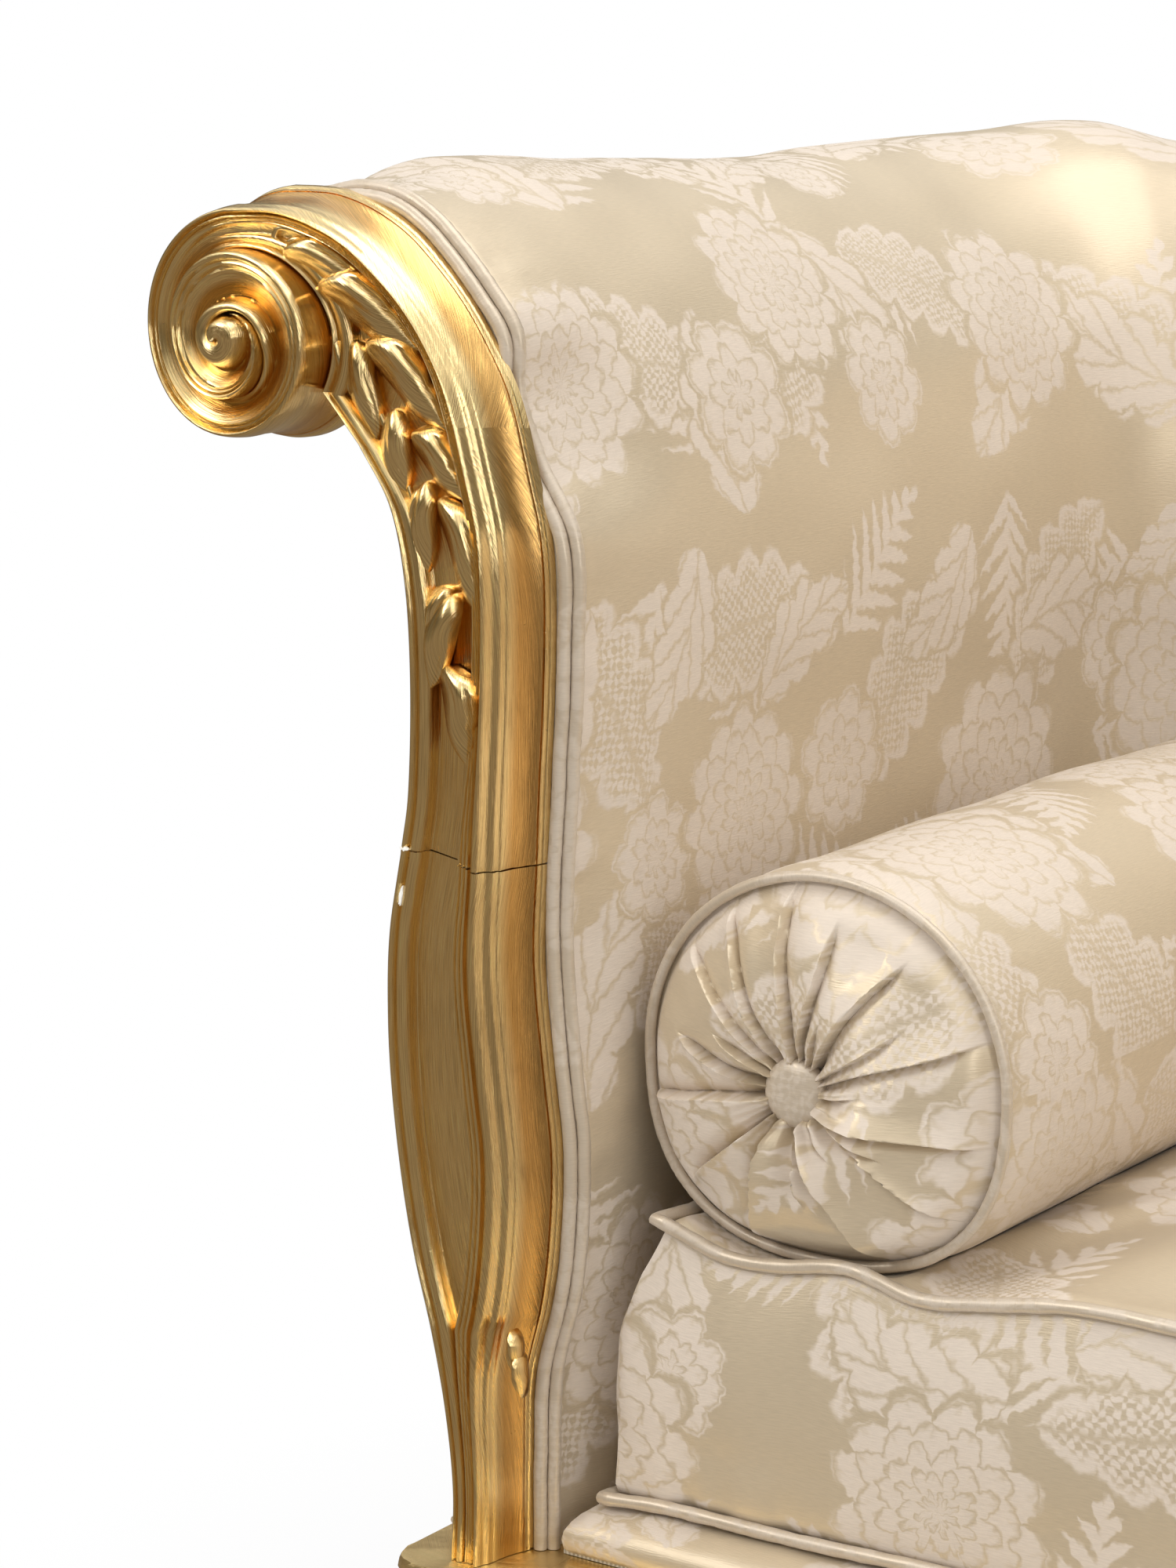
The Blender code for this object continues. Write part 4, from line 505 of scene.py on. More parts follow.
def metres(tree):
    """Places on the surface, in metres."""
    return out(node(tree, "UVMap", {"uv_map": "metres"}))


def coordinates(tree, kind="Object"):
    return out(node(tree, "TexCoord"), kind)


def shader_group(name, inputs, *outputs):
    """A node group: its tree, its inputs by name and its output node. An input without a start is a vector."""
    tree = bpy.data.node_groups.new(name, "ShaderNodeTree")
    for label, start in inputs.items():
        kind = "NodeSocketVector" if start is None else "NodeSocketFloat"
        socket = tree.interface.new_socket(label, in_out="INPUT", socket_type=kind)
        if start is not None:
            socket.default_value = start
    for label in outputs:
        tree.interface.new_socket(label, in_out="OUTPUT", socket_type="NodeSocketFloat")
    source, end = tree.nodes.new("NodeGroupInput"), tree.nodes.new("NodeGroupOutput")
    return tree, {label: out(source, label) for label in inputs}, end


def motif(name):
    """A flower motif's group, with the place in it moved to its centre, turned and divided by its size."""
    inputs = {"Place": None, "Centre": None, "Turn": 0.0, "Size": 0.05, "Count": 7.0, "Form": 0.5}
    tree, ins, end = shader_group(name, inputs, "Mask", "Cover")
    turned = node(tree, "VectorRotate", {"rotation_type": "Z_AXIS"}, Vector=ins["Place"], Center=ins["Centre"],
                  Angle=ins["Turn"] * -1.0)
    x, y, _ = split(out(node(tree, "VectorMath", {"operation": "SUBTRACT"}, i0=out(turned), i1=ins["Centre"])))
    return tree, ins["Count"], ins["Form"], end, x / ins["Size"], y / ins["Size"]


def blossom_group():
    """Round flower: scalloped rim, rings of petals drawn as ground-coloured arcs. Form: how many rings."""
    tree, count, form, end, x, y = motif("Blossom")
    angle = y.math("ARCTAN2", x) * (1 / (2 * pi)) * count
    far = (x * x + y * y) ** 0.5
    far = far + (angle * 4.3).sin() * 0.035
    rim = (angle * pi).sin().abs() ** 0.55 * 0.24 + 0.76
    ring = far * form
    number = ring.floor()
    petal = (angle + number * 0.5).fract() - 0.5
    arc = 0.95 - petal * petal * 2.6
    line = (1.0 - ((ring - number) - arc).abs() * 5.0).clamp()
    vein = (1.0 - petal.abs() * 12.0).clamp() * ((ring - number) * 2.0 - 0.6).clamp() * 0.6
    feed(end, Mask=((rim - far) * 22.0).clamp() * (1.0 - line.max(vein) * 0.9),
         Cover=((rim + 0.09 - far) * 22.0).clamp())
    return tree


def leaf_group():
    """Lobed leaf along its own x. Form 0 has side veins, 1 is filled with a net of dots inside its rim."""
    tree, count, form, end, x, y = motif("Leaf")
    x = x + 0.5
    y = y - (x * pi).sin() * 0.10
    span = x.clamp()
    lobes = (span * count * pi).sin().abs() ** 0.7 * 0.34 + 0.66
    wide = span ** 0.55 * (1.0 - span) ** 0.75 * 0.66 * lobes
    room = wide - y.abs()
    rib = (1.0 - y.abs() * 55.0).clamp()
    vein = (1.0 - ((x * count - y.abs() * 7.0).fract() - 0.5).abs() * 7.0).clamp()
    net = ((x * 150.0).sin() * (y * 150.0).sin() * 1.6 + 0.55).clamp() * (room * 22.0 - 0.7).clamp()
    drawn = rib.max(vein + (net - vein) * form)
    feed(end, Mask=(room * 45.0).clamp() * (1.0 - drawn * 0.9),
         Cover=((room + 0.03) * 45.0).clamp() * (wide * 60.0).clamp())
    return tree


def sprig_group():
    """Stem with leaflets on both sides in turn: leaflet k is where the place along, less the slant, is k to k + 1."""
    tree, count, form, end, x, y = motif("Sprig")
    x = x + 0.5
    y = y - (x * 2.4).sin() * 0.08
    reach = (x.clamp() ** 0.75 * pi).sin() * form + 0.001
    side = y.math("GREATER_THAN", 0.0)
    place = x * count - y.abs() * count * 0.85 + side * 0.5
    share = y.abs() / reach
    inside = ((0.44 * (1.0 - share * share) - (place.fract() - 0.5).abs()) * 8.0).clamp()
    inside = inside * ((1.0 - share) * 20.0).clamp()
    stem = (1.0 - y.abs() * 45.0).clamp()
    mask = inside.max(stem) * ((1.0 - x) * 30.0).clamp() * (x * 30.0).clamp()
    feed(end, Mask=mask, Cover=mask)
    return tree


# Layers of motifs, the lowest first: kind, cell across and up, shift of the grid, size and its spread, count, form
LAYERS = (
    ("Sprig", 0.120, 0.135, 0.30, 0.100, 0.012, 7, 0.32),
    ("Leaf", 0.150, 0.170, 0.10, 0.145, 0.020, 6, 1.0),
    ("Leaf", 0.125, 0.145, 0.62, 0.100, 0.020, 4, 0.0),
    ("Blossom", 0.150, 0.175, 0.45, 0.036, 0.008, 8, 3.2),
    ("Blossom", 0.200, 0.230, 0.00, 0.060, 0.008, 12, 5.2),
)


def damask_group():
    """The woven flower pattern as a mask on places in metres: 1 in the flowers, 0 in the satin ground.

    Each layer has one motif in each cell of a brick grid, moved, turned and sized by a random colour of the cell.
    """
    kinds = {"Blossom": blossom_group(), "Leaf": leaf_group(), "Sprig": sprig_group()}
    tree, ins, end = shader_group("Damask", {"Place": None}, "Mask")
    rough = node(tree, "TexNoise", {"noise_dimensions": "2D"}, Vector=ins["Place"], Scale=190.0, Detail=1.0)
    shaken = node(tree, "VectorMath", {"operation": "MULTIPLY_ADD"}, i0=out(rough, "Color"),
                  i1=(0.005, 0.005, 0), i2=ins["Place"])
    right, height, _ = split(out(shaken))
    mask = None
    for k, (kind, wide, tall, shift, size, spread, count, form) in enumerate(LAYERS):
        up = height / tall + shift
        row = up.floor()
        across = right / wide + row * 0.5 + shift * 1.7
        cell = joined(across.floor(), row, float(k))
        chance = node(tree, "TexWhiteNoise", {"noise_dimensions": "3D"}, Vector=cell)
        first, second, third = split(out(chance, "Color"))
        made = node(tree, "Group", {"node_tree": kinds[kind]}, Place=joined(across.fract() * wide, up.fract() * tall),
                    Centre=joined(first * (0.30 * wide) + 0.35 * wide, second * (0.30 * tall) + 0.35 * tall),
                    Turn=third * (2 * pi), Size=out(chance, "Value") * (2 * spread) + (size - spread),
                    Count=count, Form=form)
        mask = out(made) if mask is None else mask * (1.0 - out(made, 1)) + out(made)
    feed(end, Mask=mask.clamp())
    return tree


def new_material(name, colour, roughness, metallic=0.0):
    """A material, its tree and its shader."""
    look = bpy.data.materials.new(name)
    look.use_nodes = True
    shader = look.node_tree.nodes["Principled BSDF"]
    feed(shader, Base_Color=(*colour, 1.0), Roughness=roughness, Metallic=metallic)
    return look, look.node_tree, shader


def ramp(value, *stops):
    """Colours by place from 0 to 1."""
    made = node(value.tree, "ValToRGB", Fac=value)
    while len(made.color_ramp.elements) < len(stops):
        made.color_ramp.elements.new(0.5)
    for element, (place, colour) in zip(made.color_ramp.elements, stops):
        element.position, element.color = place, (*colour, 1.0)
    return out(made)


def silk_material(name, damask, ground, flower, pattern=1.0):
    """Satin ground that mirrors the light softly, with matt woven flowers. UV places are in metres."""
    look, tree, shader = new_material(name, ground, 0.38, 0.28)
    place = metres(tree)
    mask = out(node(tree, "Group", {"node_tree": damask}, Place=place)) * pattern
    cloud = noise(place, 9.0, 3.0)
    thread = noise(place, 1.0, stretch=(160, 1400, 1))
    tint = (thread - 0.5) * 0.16 + (cloud - 0.5) * 0.10 + 1.0
    feed(shader, Base_Color=shaded(mixed(mask, ground, flower), tint),
         Roughness=mask * 0.22 + 0.36 + (thread - 0.5) * 0.1, Metallic=0.30 - mask * 0.24,
         Sheen_Weight=0.12, Sheen_Roughness=0.4, Normal=bumps(thread * 0.7, 0.35, 0.00035))
    return look


def gold_material():
    """Burnished leaf: fine streaks along the moulding, pits, and a darker, warmer colour painted in the hollows as
    shade.
    """
    look, tree, shader = new_material("burnished gold leaf", (0.82, 0.60, 0.26), 0.16, 1.0)
    settings = bpy.context.scene.sofa
    place, body = metres(tree), coordinates(tree)
    streak, broad = noise(place, detail=3.0, stretch=(1500, 22, 1)), noise(place, stretch=(420, 7, 1))
    wave, worn = noise(body, 55.0, flat=False), noise(body, 16.0, 5.0, flat=False)
    pits = out(node(tree, "TexVoronoi", Vector=body, Scale=210.0))
    pit = (1.0 - pits * 9.0).clamp() * ((worn - 0.52) * 8.0).clamp()
    # Painted shade: the mesh's hollow-shade share darkens and warms the leaf's colour in the grooves and coves.
    hollow_shade = out(node(tree, "Attribute", {"attribute_name": "hollow_shade"}), "Fac")
    colour = mixed((hollow_shade * 1.3 - 0.35).clamp(), settings.gold, settings.hollow_shade)
    bright = (worn - 0.5) * 0.30 + (streak - 0.5) * 0.25 + (broad - 0.5) * 0.90 + 1.02 - pit * 0.6
    height = wave * 0.8 + streak * 0.10 + broad * 0.42 - pit * 0.25
    feed(shader, Base_Color=shaded(colour, bright), Normal=bumps(height, 0.5, 0.0006),
         Roughness=(streak - 0.5) * 0.20 + (worn - 0.5) * 0.14 + 0.15 + hollow_shade * 0.05 + pit * 0.3)
    return look


def wood_material():
    look, tree, shader = new_material("plain beech", (0.45, 0.30, 0.17), 0.6)
    grain = noise(coordinates(tree), 2.0, 6.0, (6, 60, 60), flat=False)
    feed(shader, Base_Color=ramp(grain, (0.3, (0.30, 0.18, 0.09)), (0.7, (0.56, 0.39, 0.23))))
    return look


def woven_material(name, dark, light, scale):
    """Plain cloth of crossing threads: |sin x| and |sin y| taken in turn."""
    look, tree, shader = new_material(name, light, 0.9)
    body = coordinates(tree)
    x, y, _ = split(body)
    weave = ((x * scale).sin() * (y * scale).sin()).math("MULTIPLY_ADD", 0.5, 0.5)
    fuzz = noise(body, 300.0, flat=False)
    feed(shader, Base_Color=ramp(weave * 0.6 + fuzz * 0.4, (0.2, dark), (0.8, light)),
         Normal=bumps(weave, 0.6, 0.0004))
    return look


def steel_material():
    look, tree, shader = new_material("spring steel", (0.42, 0.38, 0.34), 0.35, 1.0)
    feed(shader, Roughness=noise(coordinates(tree), 90.0, 4.0, flat=False) * 0.4 + 0.15)
    return look


def looks():
    """The materials, made once."""
    if not MADE:
        damask, settings = damask_group(), bpy.context.scene.sofa
        MADE.update(
            gold=gold_material(),
            silk=silk_material("silk damask", damask, settings.ground, settings.flower),
            cord=silk_material("piping silk", damask, settings.cord, (0.63, 0.545, 0.455), 0.4),
            beech=wood_material(),
            web=woven_material("jute web", (0.24, 0.17, 0.09), (0.52, 0.42, 0.27), 1400.0),
            canvas=woven_material("plain canvas", (0.40, 0.36, 0.29), (0.70, 0.66, 0.58), 2600.0),
            steel=steel_material(),
            gesso=new_material("bare gesso", (0.86, 0.83, 0.76), 0.8)[0],
        )
    return MADE


# Carving


def band(outer, inner, cove, start, blend, lift, beads, wall=None, head=None):
    """Rings across the moulded band: front mouldings, the cove behind its inner edge, and the back.

    The front is places p across, with depth d(p), mixed from the stem's beads to the volute's coil.
    wall, where above 0, is how deep a coil goes in place of the cove.
    """
    whole = np.linalg.norm(inner - outer, axis=1)[:, None]
    way, cove = (inner - outer) / whole, cove[:, None]
    width, mix = whole - cove, blend[:, None]
    scale = np.minimum(1, width / (31.5 * MM))
    left, right = np.array(OUTER_BEADS) * MM, np.array(INNER_BEADS) * MM
    places = np.hstack((left[:, 0] * scale, width - right[:, 0] * scale * np.reshape(beads, (-1, 1)))) / width
    across = np.linspace(0, 1, places.shape[1])
    coil = graph(COIL, across) * MM
    full_coil = coil * np.minimum(1, width / (17 * MM))
    if head is not None:
        turn, near = head
        coil = full_coil = full_coil * (1 - near) + head_depth(turn, width, across) * near
    beads_deep = np.append(left[:, 1], right[:, 1])
    depths = beads_deep * scale ** 0.5 * (1 - mix) + full_coil * mix + lift[:, None]
    front = outer[:, None] + way[:, None] * (width * (places * (1 - mix) + across * mix))[..., None]
    stem, ring = np.array(COVE_STEM).T[:, None], np.array(COVE_RING).T[:, None]
    share, deep = stem * (1 - mix) + ring * mix
    bottom = POST_DEPTH
    if wall is not None:
        wall = wall[:, None]
        bottom = np.where(wall > 0, start[:, None] + wall, POST_DEPTH)
        share = np.where(wall > 0, 0, share)
    begin = start[:, None] - 0.0008 * (1 - mix)
    side = (outer + way * width)[:, None] + way[:, None] * (cove * share)[..., None]
    points = np.concatenate((front, side, (outer + way * 0.0005)[:, None], outer[:, None]), 1)
    back = np.broadcast_to(bottom, (len(outer), 1))
    edge = np.minimum(depths[:, :1] + 0.004, back)
    depth = np.concatenate((depths, begin + (bottom - begin) * deep, back, edge), 1)
    # Painted shade for the gold: darker in the deep grooves between the beads, in the coil's hollows and partway down
    # the cove.
    front_shade = np.clip(beads_deep, 0, 1) * (1 - mix) + np.clip(coil * 420, 0, 1) * mix
    side_shade = np.clip((deep - 0.2) * 3, 0, 0.8) * np.clip((0.9 - deep) * 8, 0.2, 1)
    tint = np.concatenate((front_shade, side_shade, 0 * back, 0 * back), 1)
    return np.stack((points[..., 0], depth, points[..., 1]), -1), tint


def gild(name, grid, hollow_shade, node_name=None, smooth=42):
    """A gilt piece of the frame, with painted shade in its hollows and places on its surface in metres."""
    obj = solid(name, grid, looks()["gold"], own_uv(grid), smooth=smooth, hollow_shade=hollow_shade)
    piece(obj, "frame", node_name)


def on_arm(points, side):
    """Points of reach, depth and height on the left arm, moved to their places on either arm."""
    return (points - (LINE_X, 0, 0)) * (side, 1, 1) + (0, FRONT_Y, 0)


def post_rings():
    """The post from its foot to the glue joint, where its edge is uneven."""
    z = np.linspace(FOOT, JOINT - 0.0003, 150)
    outer, inner = (cols(graph(rows, (z - RAIL_TOP) / RISE) * POST_WIDTH, z) for rows in (POST_OUTER, POST_INNER))
    zero = np.zeros(len(z))
    cove = STEM_COVE * np.minimum(1, (inner - outer)[:, 0] / 0.0455)
    rings, tint = band(outer, inner, cove, zero, zero, zero, 0.95 + 0.22 * ease((JOINT - z) / 0.07))
    rings[..., 2] += joint_slant(rings[..., 0], rings[..., 2])
    rings[-1, :, 2] -= 0.00022 * (1 + ripple(rings[-1, :, :2], 0.004, 12))
    return rings, tint


def scroll_rings():
    """Stem, neck and volute as one line of rings: the stem's cross lines, then turns of the spiral."""
    low = [(k, *row) for k, row in enumerate(STEM)]
    rows = curve(low, np.linspace(0, len(low) - 1, 70))
    outer, inner = edge_point(rows[:, 0], rows[:, 1]), edge_point(rows[:, 2], rows[:, 3])
    outer[0, 1] = inner[0, 1] = JOINT
    zero = np.zeros(70)
    beads = 0.95 - 0.31 * ease((rows[:, 0] - 0.525) / 0.09)
    stem = band(outer, inner, zero + STEM_COVE, zero, zero, zero, beads, zero)
    turn = np.linspace(NECK_TURN, 2.45, 460)
    lift = relief(turn)
    shoulder = [(k / len(SHOULDER), *edge_point(*row)) for k, row in enumerate(SHOULDER)]
    top = volute_point(0, groove_radius(0) + ring_cove(0))
    neck = curve([*shoulder, (1, *top)], graph(NECK_PLACE, turn))
    cove = np.where(turn < 0, STEM_COVE + (RING_COVE_TOP - STEM_COVE) * ease(1 + 3 * turn), ring_cove(turn))
    wall = np.where(turn > 0.667, relief(turn - 1) - lift + 0.007, 0)
    cove = np.where(wall > 0, 0, cove)
    inner = np.where((turn < 0)[:, None], neck, volute_point(turn, groove_radius(turn) + cove))
    head = (turn, ease((turn - 0.45) / 0.35)[:, None])
    outer, blend = volute_point(turn, groove_radius(turn + 1)), ease((turn + 0.17) / 0.3)
    coil = band(outer, inner, cove, lift, blend, lift, 0.64, wall, head)
    rings, tint = (np.concatenate(parts) for parts in zip(stem, coil))
    rings[..., 2] += joint_slant(rings[..., 0], rings[..., 2]) * (rings[..., 0] > -0.06)
    rings[0, :, 2] += 0.00018 * (1 + ripple(rings[0, :, :2], 0.004, 13))
    return rings, tint


def leaf_rings(x0, z0, x1, z1, wide, bend, roll, tall, lobe):
    """Laurel leaf: half width s^0.5 (1-s)^0.8, a plump body with a winding ridge, a rolled, lobed right edge."""
    base, tip = np.array((x0, z0)) * MM, np.array((x1, z1)) * MM
    way = tip - base
    across = unit(np.array((-way[1], way[0])))
    s = (1 - np.cos(np.linspace(0.06, pi - 0.03, 48)))[:, None] / 2
    t = np.linspace(-1, 1, 31)
    arch, twist = np.sin(pi * s), np.sin(2 * pi * s)
    spine = base + way * s + across * bend * MM * (arch + 0.45 * twist)
    half = wide * MM / 2 * s ** 0.5 * (1 - s) ** 0.8 / 0.405
    notch = 1 + lobe * (0.10 * np.sin(2 * pi * (1.55 * s + 0.1)) - 0.16 * bell(s - 0.66, 0.05))
    ridge = t - (0.34 * arch + 0.20 * np.sin(2 * pi * s + 0.6)) * (1 - t ** 2)
    plump = (1 - np.abs(ridge) ** 1.9).clip(0) ** 0.72
    crease = 0.416 * bell(t + 0.10 - 0.25 * s, 0.16) * s * (1 - s) ** 1.2
    fade = ease((s - 0.16) / 0.25) * ease((1 - s) / 0.12)
    lip = roll * fade * (0.26 * bell(t - 0.87, 0.08) - 0.22 * bell(t - 0.67, 0.09))
    body = 0.10 + 0.90 * np.abs(np.sin(pi * s ** 0.62)) ** 0.75
    high = 1.22 * tall * MM * body * np.clip(plump - crease + lip, 0.02, 2)
    reach = np.concatenate((half * np.where(t > 0, notch, 1) * t, half * t[-2:0:-1] * 0.8), 1)
    x, z = np.moveaxis(spine[:, None] + across * reach[..., None], -1, 0)
    under = np.ones((len(s), len(t) - 2))
    ground = relief_at(x, z + CARVING_Z) - 2.6 * MM * ease((z - 0.165) / 0.06) - 3.2 * MM * ease((0.10 - z) / 0.06)
    depth = ground + np.concatenate((2.7 * MM - high, 5.6 * MM * under), 1)
    # Painted shade for the gold: darker down the leaf's sides, in its crease and in the groove inside the lip,
    # lighter on the rolled lip, full under it.
    tint = np.concatenate((np.clip(1 - plump * 1.5 - lip * 2 + crease * 2.2, 0, 1), under), 1)
    return cols(x, depth, z + CARVING_Z), tint


def carve(side, label):
    """The post, the scroll with its laurel spray, and the bud at the post's foot."""
    for name, (rings, tint) in (("arm post", post_rings()), ("arm scroll", scroll_rings())):
        gild(f"{name} {label}", on_arm(rings, side), tint, True)
    for k, row in enumerate(LEAVES):
        rings, tint = leaf_rings(*row)
        gild(f"laurel leaf {label} {k}", on_arm(rings, side), tint)
    for *place, tall, back in BUD:
        rings, tint = leaf_rings(*place, 0.2, tall, 0)
        gild(f"bud {label} {back}", on_arm(rings + (0, back * MM, 0), side), tint)
    for name, points, radius, low in (("spray stem", SPRAY_STEM, 1.7, 2.2), ("spray curl", BUD_CURL, 1.5, 0)):
        x, z = (even(np.array(points) * MM, 70) + (0, CARVING_Z)).T
        line = on_arm(cols(x, low * MM + relief_at(x, z), z), side)
        thick = radius * MM * (0.35 + 0.65 * np.sin(pi * np.linspace(0.04, 0.96, 70)) ** 0.5)
        # A little painted shade all along the spray's stem and curl.
        hollow_shade = np.full((70, 12), 0.15)
        stem = tube(f"{name} {label}", line, thick, radius * MM, "gold", 12, (0, 1, 0), hollow_shade=hollow_shade)
        piece(stem, "frame")
    for k, (x, z, across, tall, tilt, deep, dome) in enumerate(CHIPS):
        a, r = np.meshgrid(circle(22), (1, 0.9, 0.6, 0.3, 0.05))
        rough = 1 + 0.22 * ripple(cols(np.cos(a), np.sin(a)), 1.2, 17 + k)
        u, v = across * r * rough * np.cos(a), tall * r * rough * np.sin(a)
        x, z = x + u * np.cos(tilt) - v * np.sin(tilt), z + u * np.sin(tilt) + v * np.cos(tilt)
        grid = MM * cols(x, deep - dome * (1 - r * r), z)
        grid = np.concatenate((grid[:1] + (0, 0.0012, 0), grid)) + (0, 0, CARVING_Z)
        chip = solid(f"gesso chip {label} {k}", on_arm(grid, side), looks()["gesso"], smooth=60)
        piece(chip, "frame")


# Upholstery


def pad(name, span, count, front=0):
    """The stuffed inside of the arm or back between two places on the line, rolled over the top.

    Its face is swept along the line. At the wood, at its start (1) or end (-1), it begins on the carved edge and
    swells out. Waves, and pulls that fade away from the tacked front edge, are added along its normal.
    """
    s = np.linspace(*span, count)
    rows = np.broadcast_to(even(pad_face(), 170), (count, 170, 2))
    if front:
        run = np.append(0.05 * np.linspace(0, 1, 26) ** 1.6, np.linspace(0.05, span[1] - span[0], count - 26)[1:])
        s = span[0] + run if front > 0 else span[1] - run[::-1]
        run = run[::front]
        swell = np.sqrt(np.clip(1 - (1 - np.clip(run / 0.013, 0, 1)) ** 2, 0, 1))
        edge = np.array([even(tucked(wood_line(-0.002 + (PAD_PROUD + 0.002) * w), 1), 170) for w in swell])
        mix = ease((run - 0.012) / 0.040)[:, None, None]
        faces = np.array([even(tucked(pad_face(), 1 - w), 170) for w in ease((run - 0.030) / 0.075)])
        rows = edge * (1 - mix) + faces * mix
    normal = np.gradient(rows, axis=1)
    normal = unit(cols(normal[..., 1], -normal[..., 0]))
    flat = cols(s[:, None], lengths(rows, 1))
    wave = 0.0016 * ripple(flat, 0.26, 4) + 0.0007 * ripple(flat, 0.09, 5)
    ends = np.minimum(s - s[0], s[-1] - s)
    if front:
        pull = np.exp(-run / 0.030) * ease(run / 0.012)
        wave = wave * ease(run / 0.03)[:, None] + 0.0011 * pull[:, None] * ripple(flat * (0.35, 1), 0.020, 6)
        ends = s[-1] - s if front > 0 else s - s[0]
    rows = rows + normal * (wave - 0.0022 * np.exp(-ends / 0.006)[:, None])[..., None]
    sweep(name, s, np.concatenate((rows, (rows - normal * PAD_THICK * 0.8)[:, ::-1][:, ::10]), 1))


def sweep(name, s, ring):
    """Upholstery from a ring of reach and height at each place along the sofa's line."""
    grid = along_path(s, ring[..., 0], np.maximum(ring[..., 1], FOOT))
    piece(solid(name, grid, looks()["silk"], swept_uv(grid, s), smooth=70), "frame", True)


def upholster():
    """The inside pads, the outside covers and the gimp along their foot."""
    seam = ARM + BEND + 0.0201
    arm_left, back, arm_right = spans(PAD_START, seam - 0.0002, seam + 0.0002)
    pad("arm pad left", arm_left, 170, 1)
    pad("back pad", back, 190)
    pad("arm pad right", arm_right, 170, -1)
    face = even(np.array([(-0.036, FOOT), *edge_point(*np.array(COVER).T), (-0.0805, 0.8515)]), 90)
    normal = offset(face, 1.0) - face
    inner = np.broadcast_to((face - normal * 0.004)[::-1][::6], (150, 15, 2))
    covers = ("outside arm left", "outside back", "outside arm right")
    for name, span in zip(covers, spans(PAD_START, seam, seam + 0.0004)):
        s = np.linspace(*span, 150)
        rows = face + normal * (0.0008 * ripple(cols(s[:, None], face[:, 1]), 0.22, 14))[..., None]
        sweep(name, s, np.concatenate((rows, inner), 1))
    for name, (s0, s1) in zip(("left", "back", "right"), spans(PAD_START, seam, seam)):
        s = np.linspace(s0 + 0.002 * (name == "left"), s1, 220)
        line = along_path(s, np.full((1, 1), -0.0385), np.full((1, 1), FOOT + 0.0022))[:, 0]
        gimp = tube(f"gimp {name}", line, 0.0021 + 0.0003 * np.sin(2 * pi * s / 0.004), 0.0021, "cord", 8)
        piece(gimp, "frame")


def welt(side, label):
    """Double welt beside the carved edge: two covered cords, slightly uneven."""
    for k, (reach, depth) in enumerate(((0.0030, PAD_START + 0.0012), (0.0076, PAD_START + 0.0058))):
        x, z = even(tucked(wood_line(reach), 1), 620).T
        run = np.linspace(0, 1.05, 620)
        line = on_arm(cols(x, depth + 0.00025 * ripple(cols(run, 0), 0.03, 21 + k), z), side)
        girth = WELT + 0.00018 * ripple(cols(run[:, None], circle(14) * 0.01), 0.006, 31 + k)
        cord = tube(f"welt cord {label} {k}", line, girth, WELT, "cord", 14, (0, 1, 0))
        piece(cord, "frame", None if k else f"arm_welt_{label}")


def half_outline(right, front, rear, radius, counts, skip):
    """Right half of a seat from above: front, side, round rear corner and back, with a count of points for each."""
    angle = np.linspace(0, pi / 2, counts[2])[skip:]
    return np.vstack((
        cols(np.linspace(0, right, counts[0]), front),
        cols(right, np.linspace(front, rear - radius, counts[1])[1:]),
        cols(right - radius + radius * np.cos(angle), rear - radius + radius * np.sin(angle)),
        cols(np.linspace(right - radius, 0, counts[3])[1:], rear),
    ))


def both_halves(half):
    """A right half and its mirror as one closed outline."""
    return np.vstack((half, (half * (-1, 1))[-2:0:-1]))


def deck():
    """Fixed seat platform with a soft front roll: outlines stacked from the foot up and in over the roll."""
    rows, foot = [], 0.3026
    stack = ((0, 0), (-0.002, 0.1), (-0.003, 0.3), (-0.002, 0.5), (0.0015, 0.68), (0.006, 0.82), (0.012, 0.93),
             (0.022, 1), (0.04, 1.03), (0.08, 1.04), (0.14, 1.04))
    for inset, z in stack:
        side = 0.031 + inset * 0.6
        half = half_outline(LINE_X - side, FRONT_Y + 0.033 + inset, BACK_Y - side, max(CORNER - side, 0.01),
                            (120, 61, 30, 101), 0)
        rows.append(cols(*both_halves(half).T, foot + (DECK_TOP - foot) * z))
    grid = np.array(rows)
    grid[..., 2] += 0.0006 * ripple(grid, 0.05, 3) * (grid[..., 2] > 0.31)
    x, y, z = np.moveaxis(lap(grid), -1, 0)
    piece(solid("seat deck", grid, looks()["silk"], cols(x, y + z), smooth=60), "frame", True)


# Loose pieces

CUSHION_RIGHT, CUSHION_FRONT, CUSHION_REAR = LINE_X - 0.062, FRONT_Y + 0.062, BACK_Y - 0.064
CUSHION_BOTTOM, CUSHION_TUCK, CUSHION_CORD = DECK_TOP + 0.004, 0.012, 0.0034
BOLSTER_X, BOLSTER_W, BOLSTER_H = LINE_X - 0.1435, 0.100, 0.0945
BOLSTER_Z = SEAM - 0.004 + 0.0006 + BOLSTER_H
BOLSTER_Y0, BOLSTER_LONG, BOLSTER_DOME = FRONT_Y + 0.080, 0.40, 0.026
BOLSTER_Y1 = BOLSTER_Y0 + BOLSTER_LONG
# How the cushion's front seam waves, by the distance from its corner
SEAM_WAVE = ((-0.01, 0.011), (0, 0.011), (0.035, 0.001), (0.07, 0.001), (0.107, 0.004), (0.143, -0.004),
             (0.18, 0.001), (0.218, 0.008), (0.32, 0.006), (0.48, 0.001), (0.6, 0.006), (0.76, 0.001))


def bolster_under(x):
    """Height of the bolsters' underside over a place x: z - h (1 - |u|^2.5)^(1/2.5)."""
    u = np.clip(np.abs(np.abs(x) - BOLSTER_X) / BOLSTER_W, 0, 1)
    return BOLSTER_Z - BOLSTER_H * (1 - u ** 2.5) ** 0.4


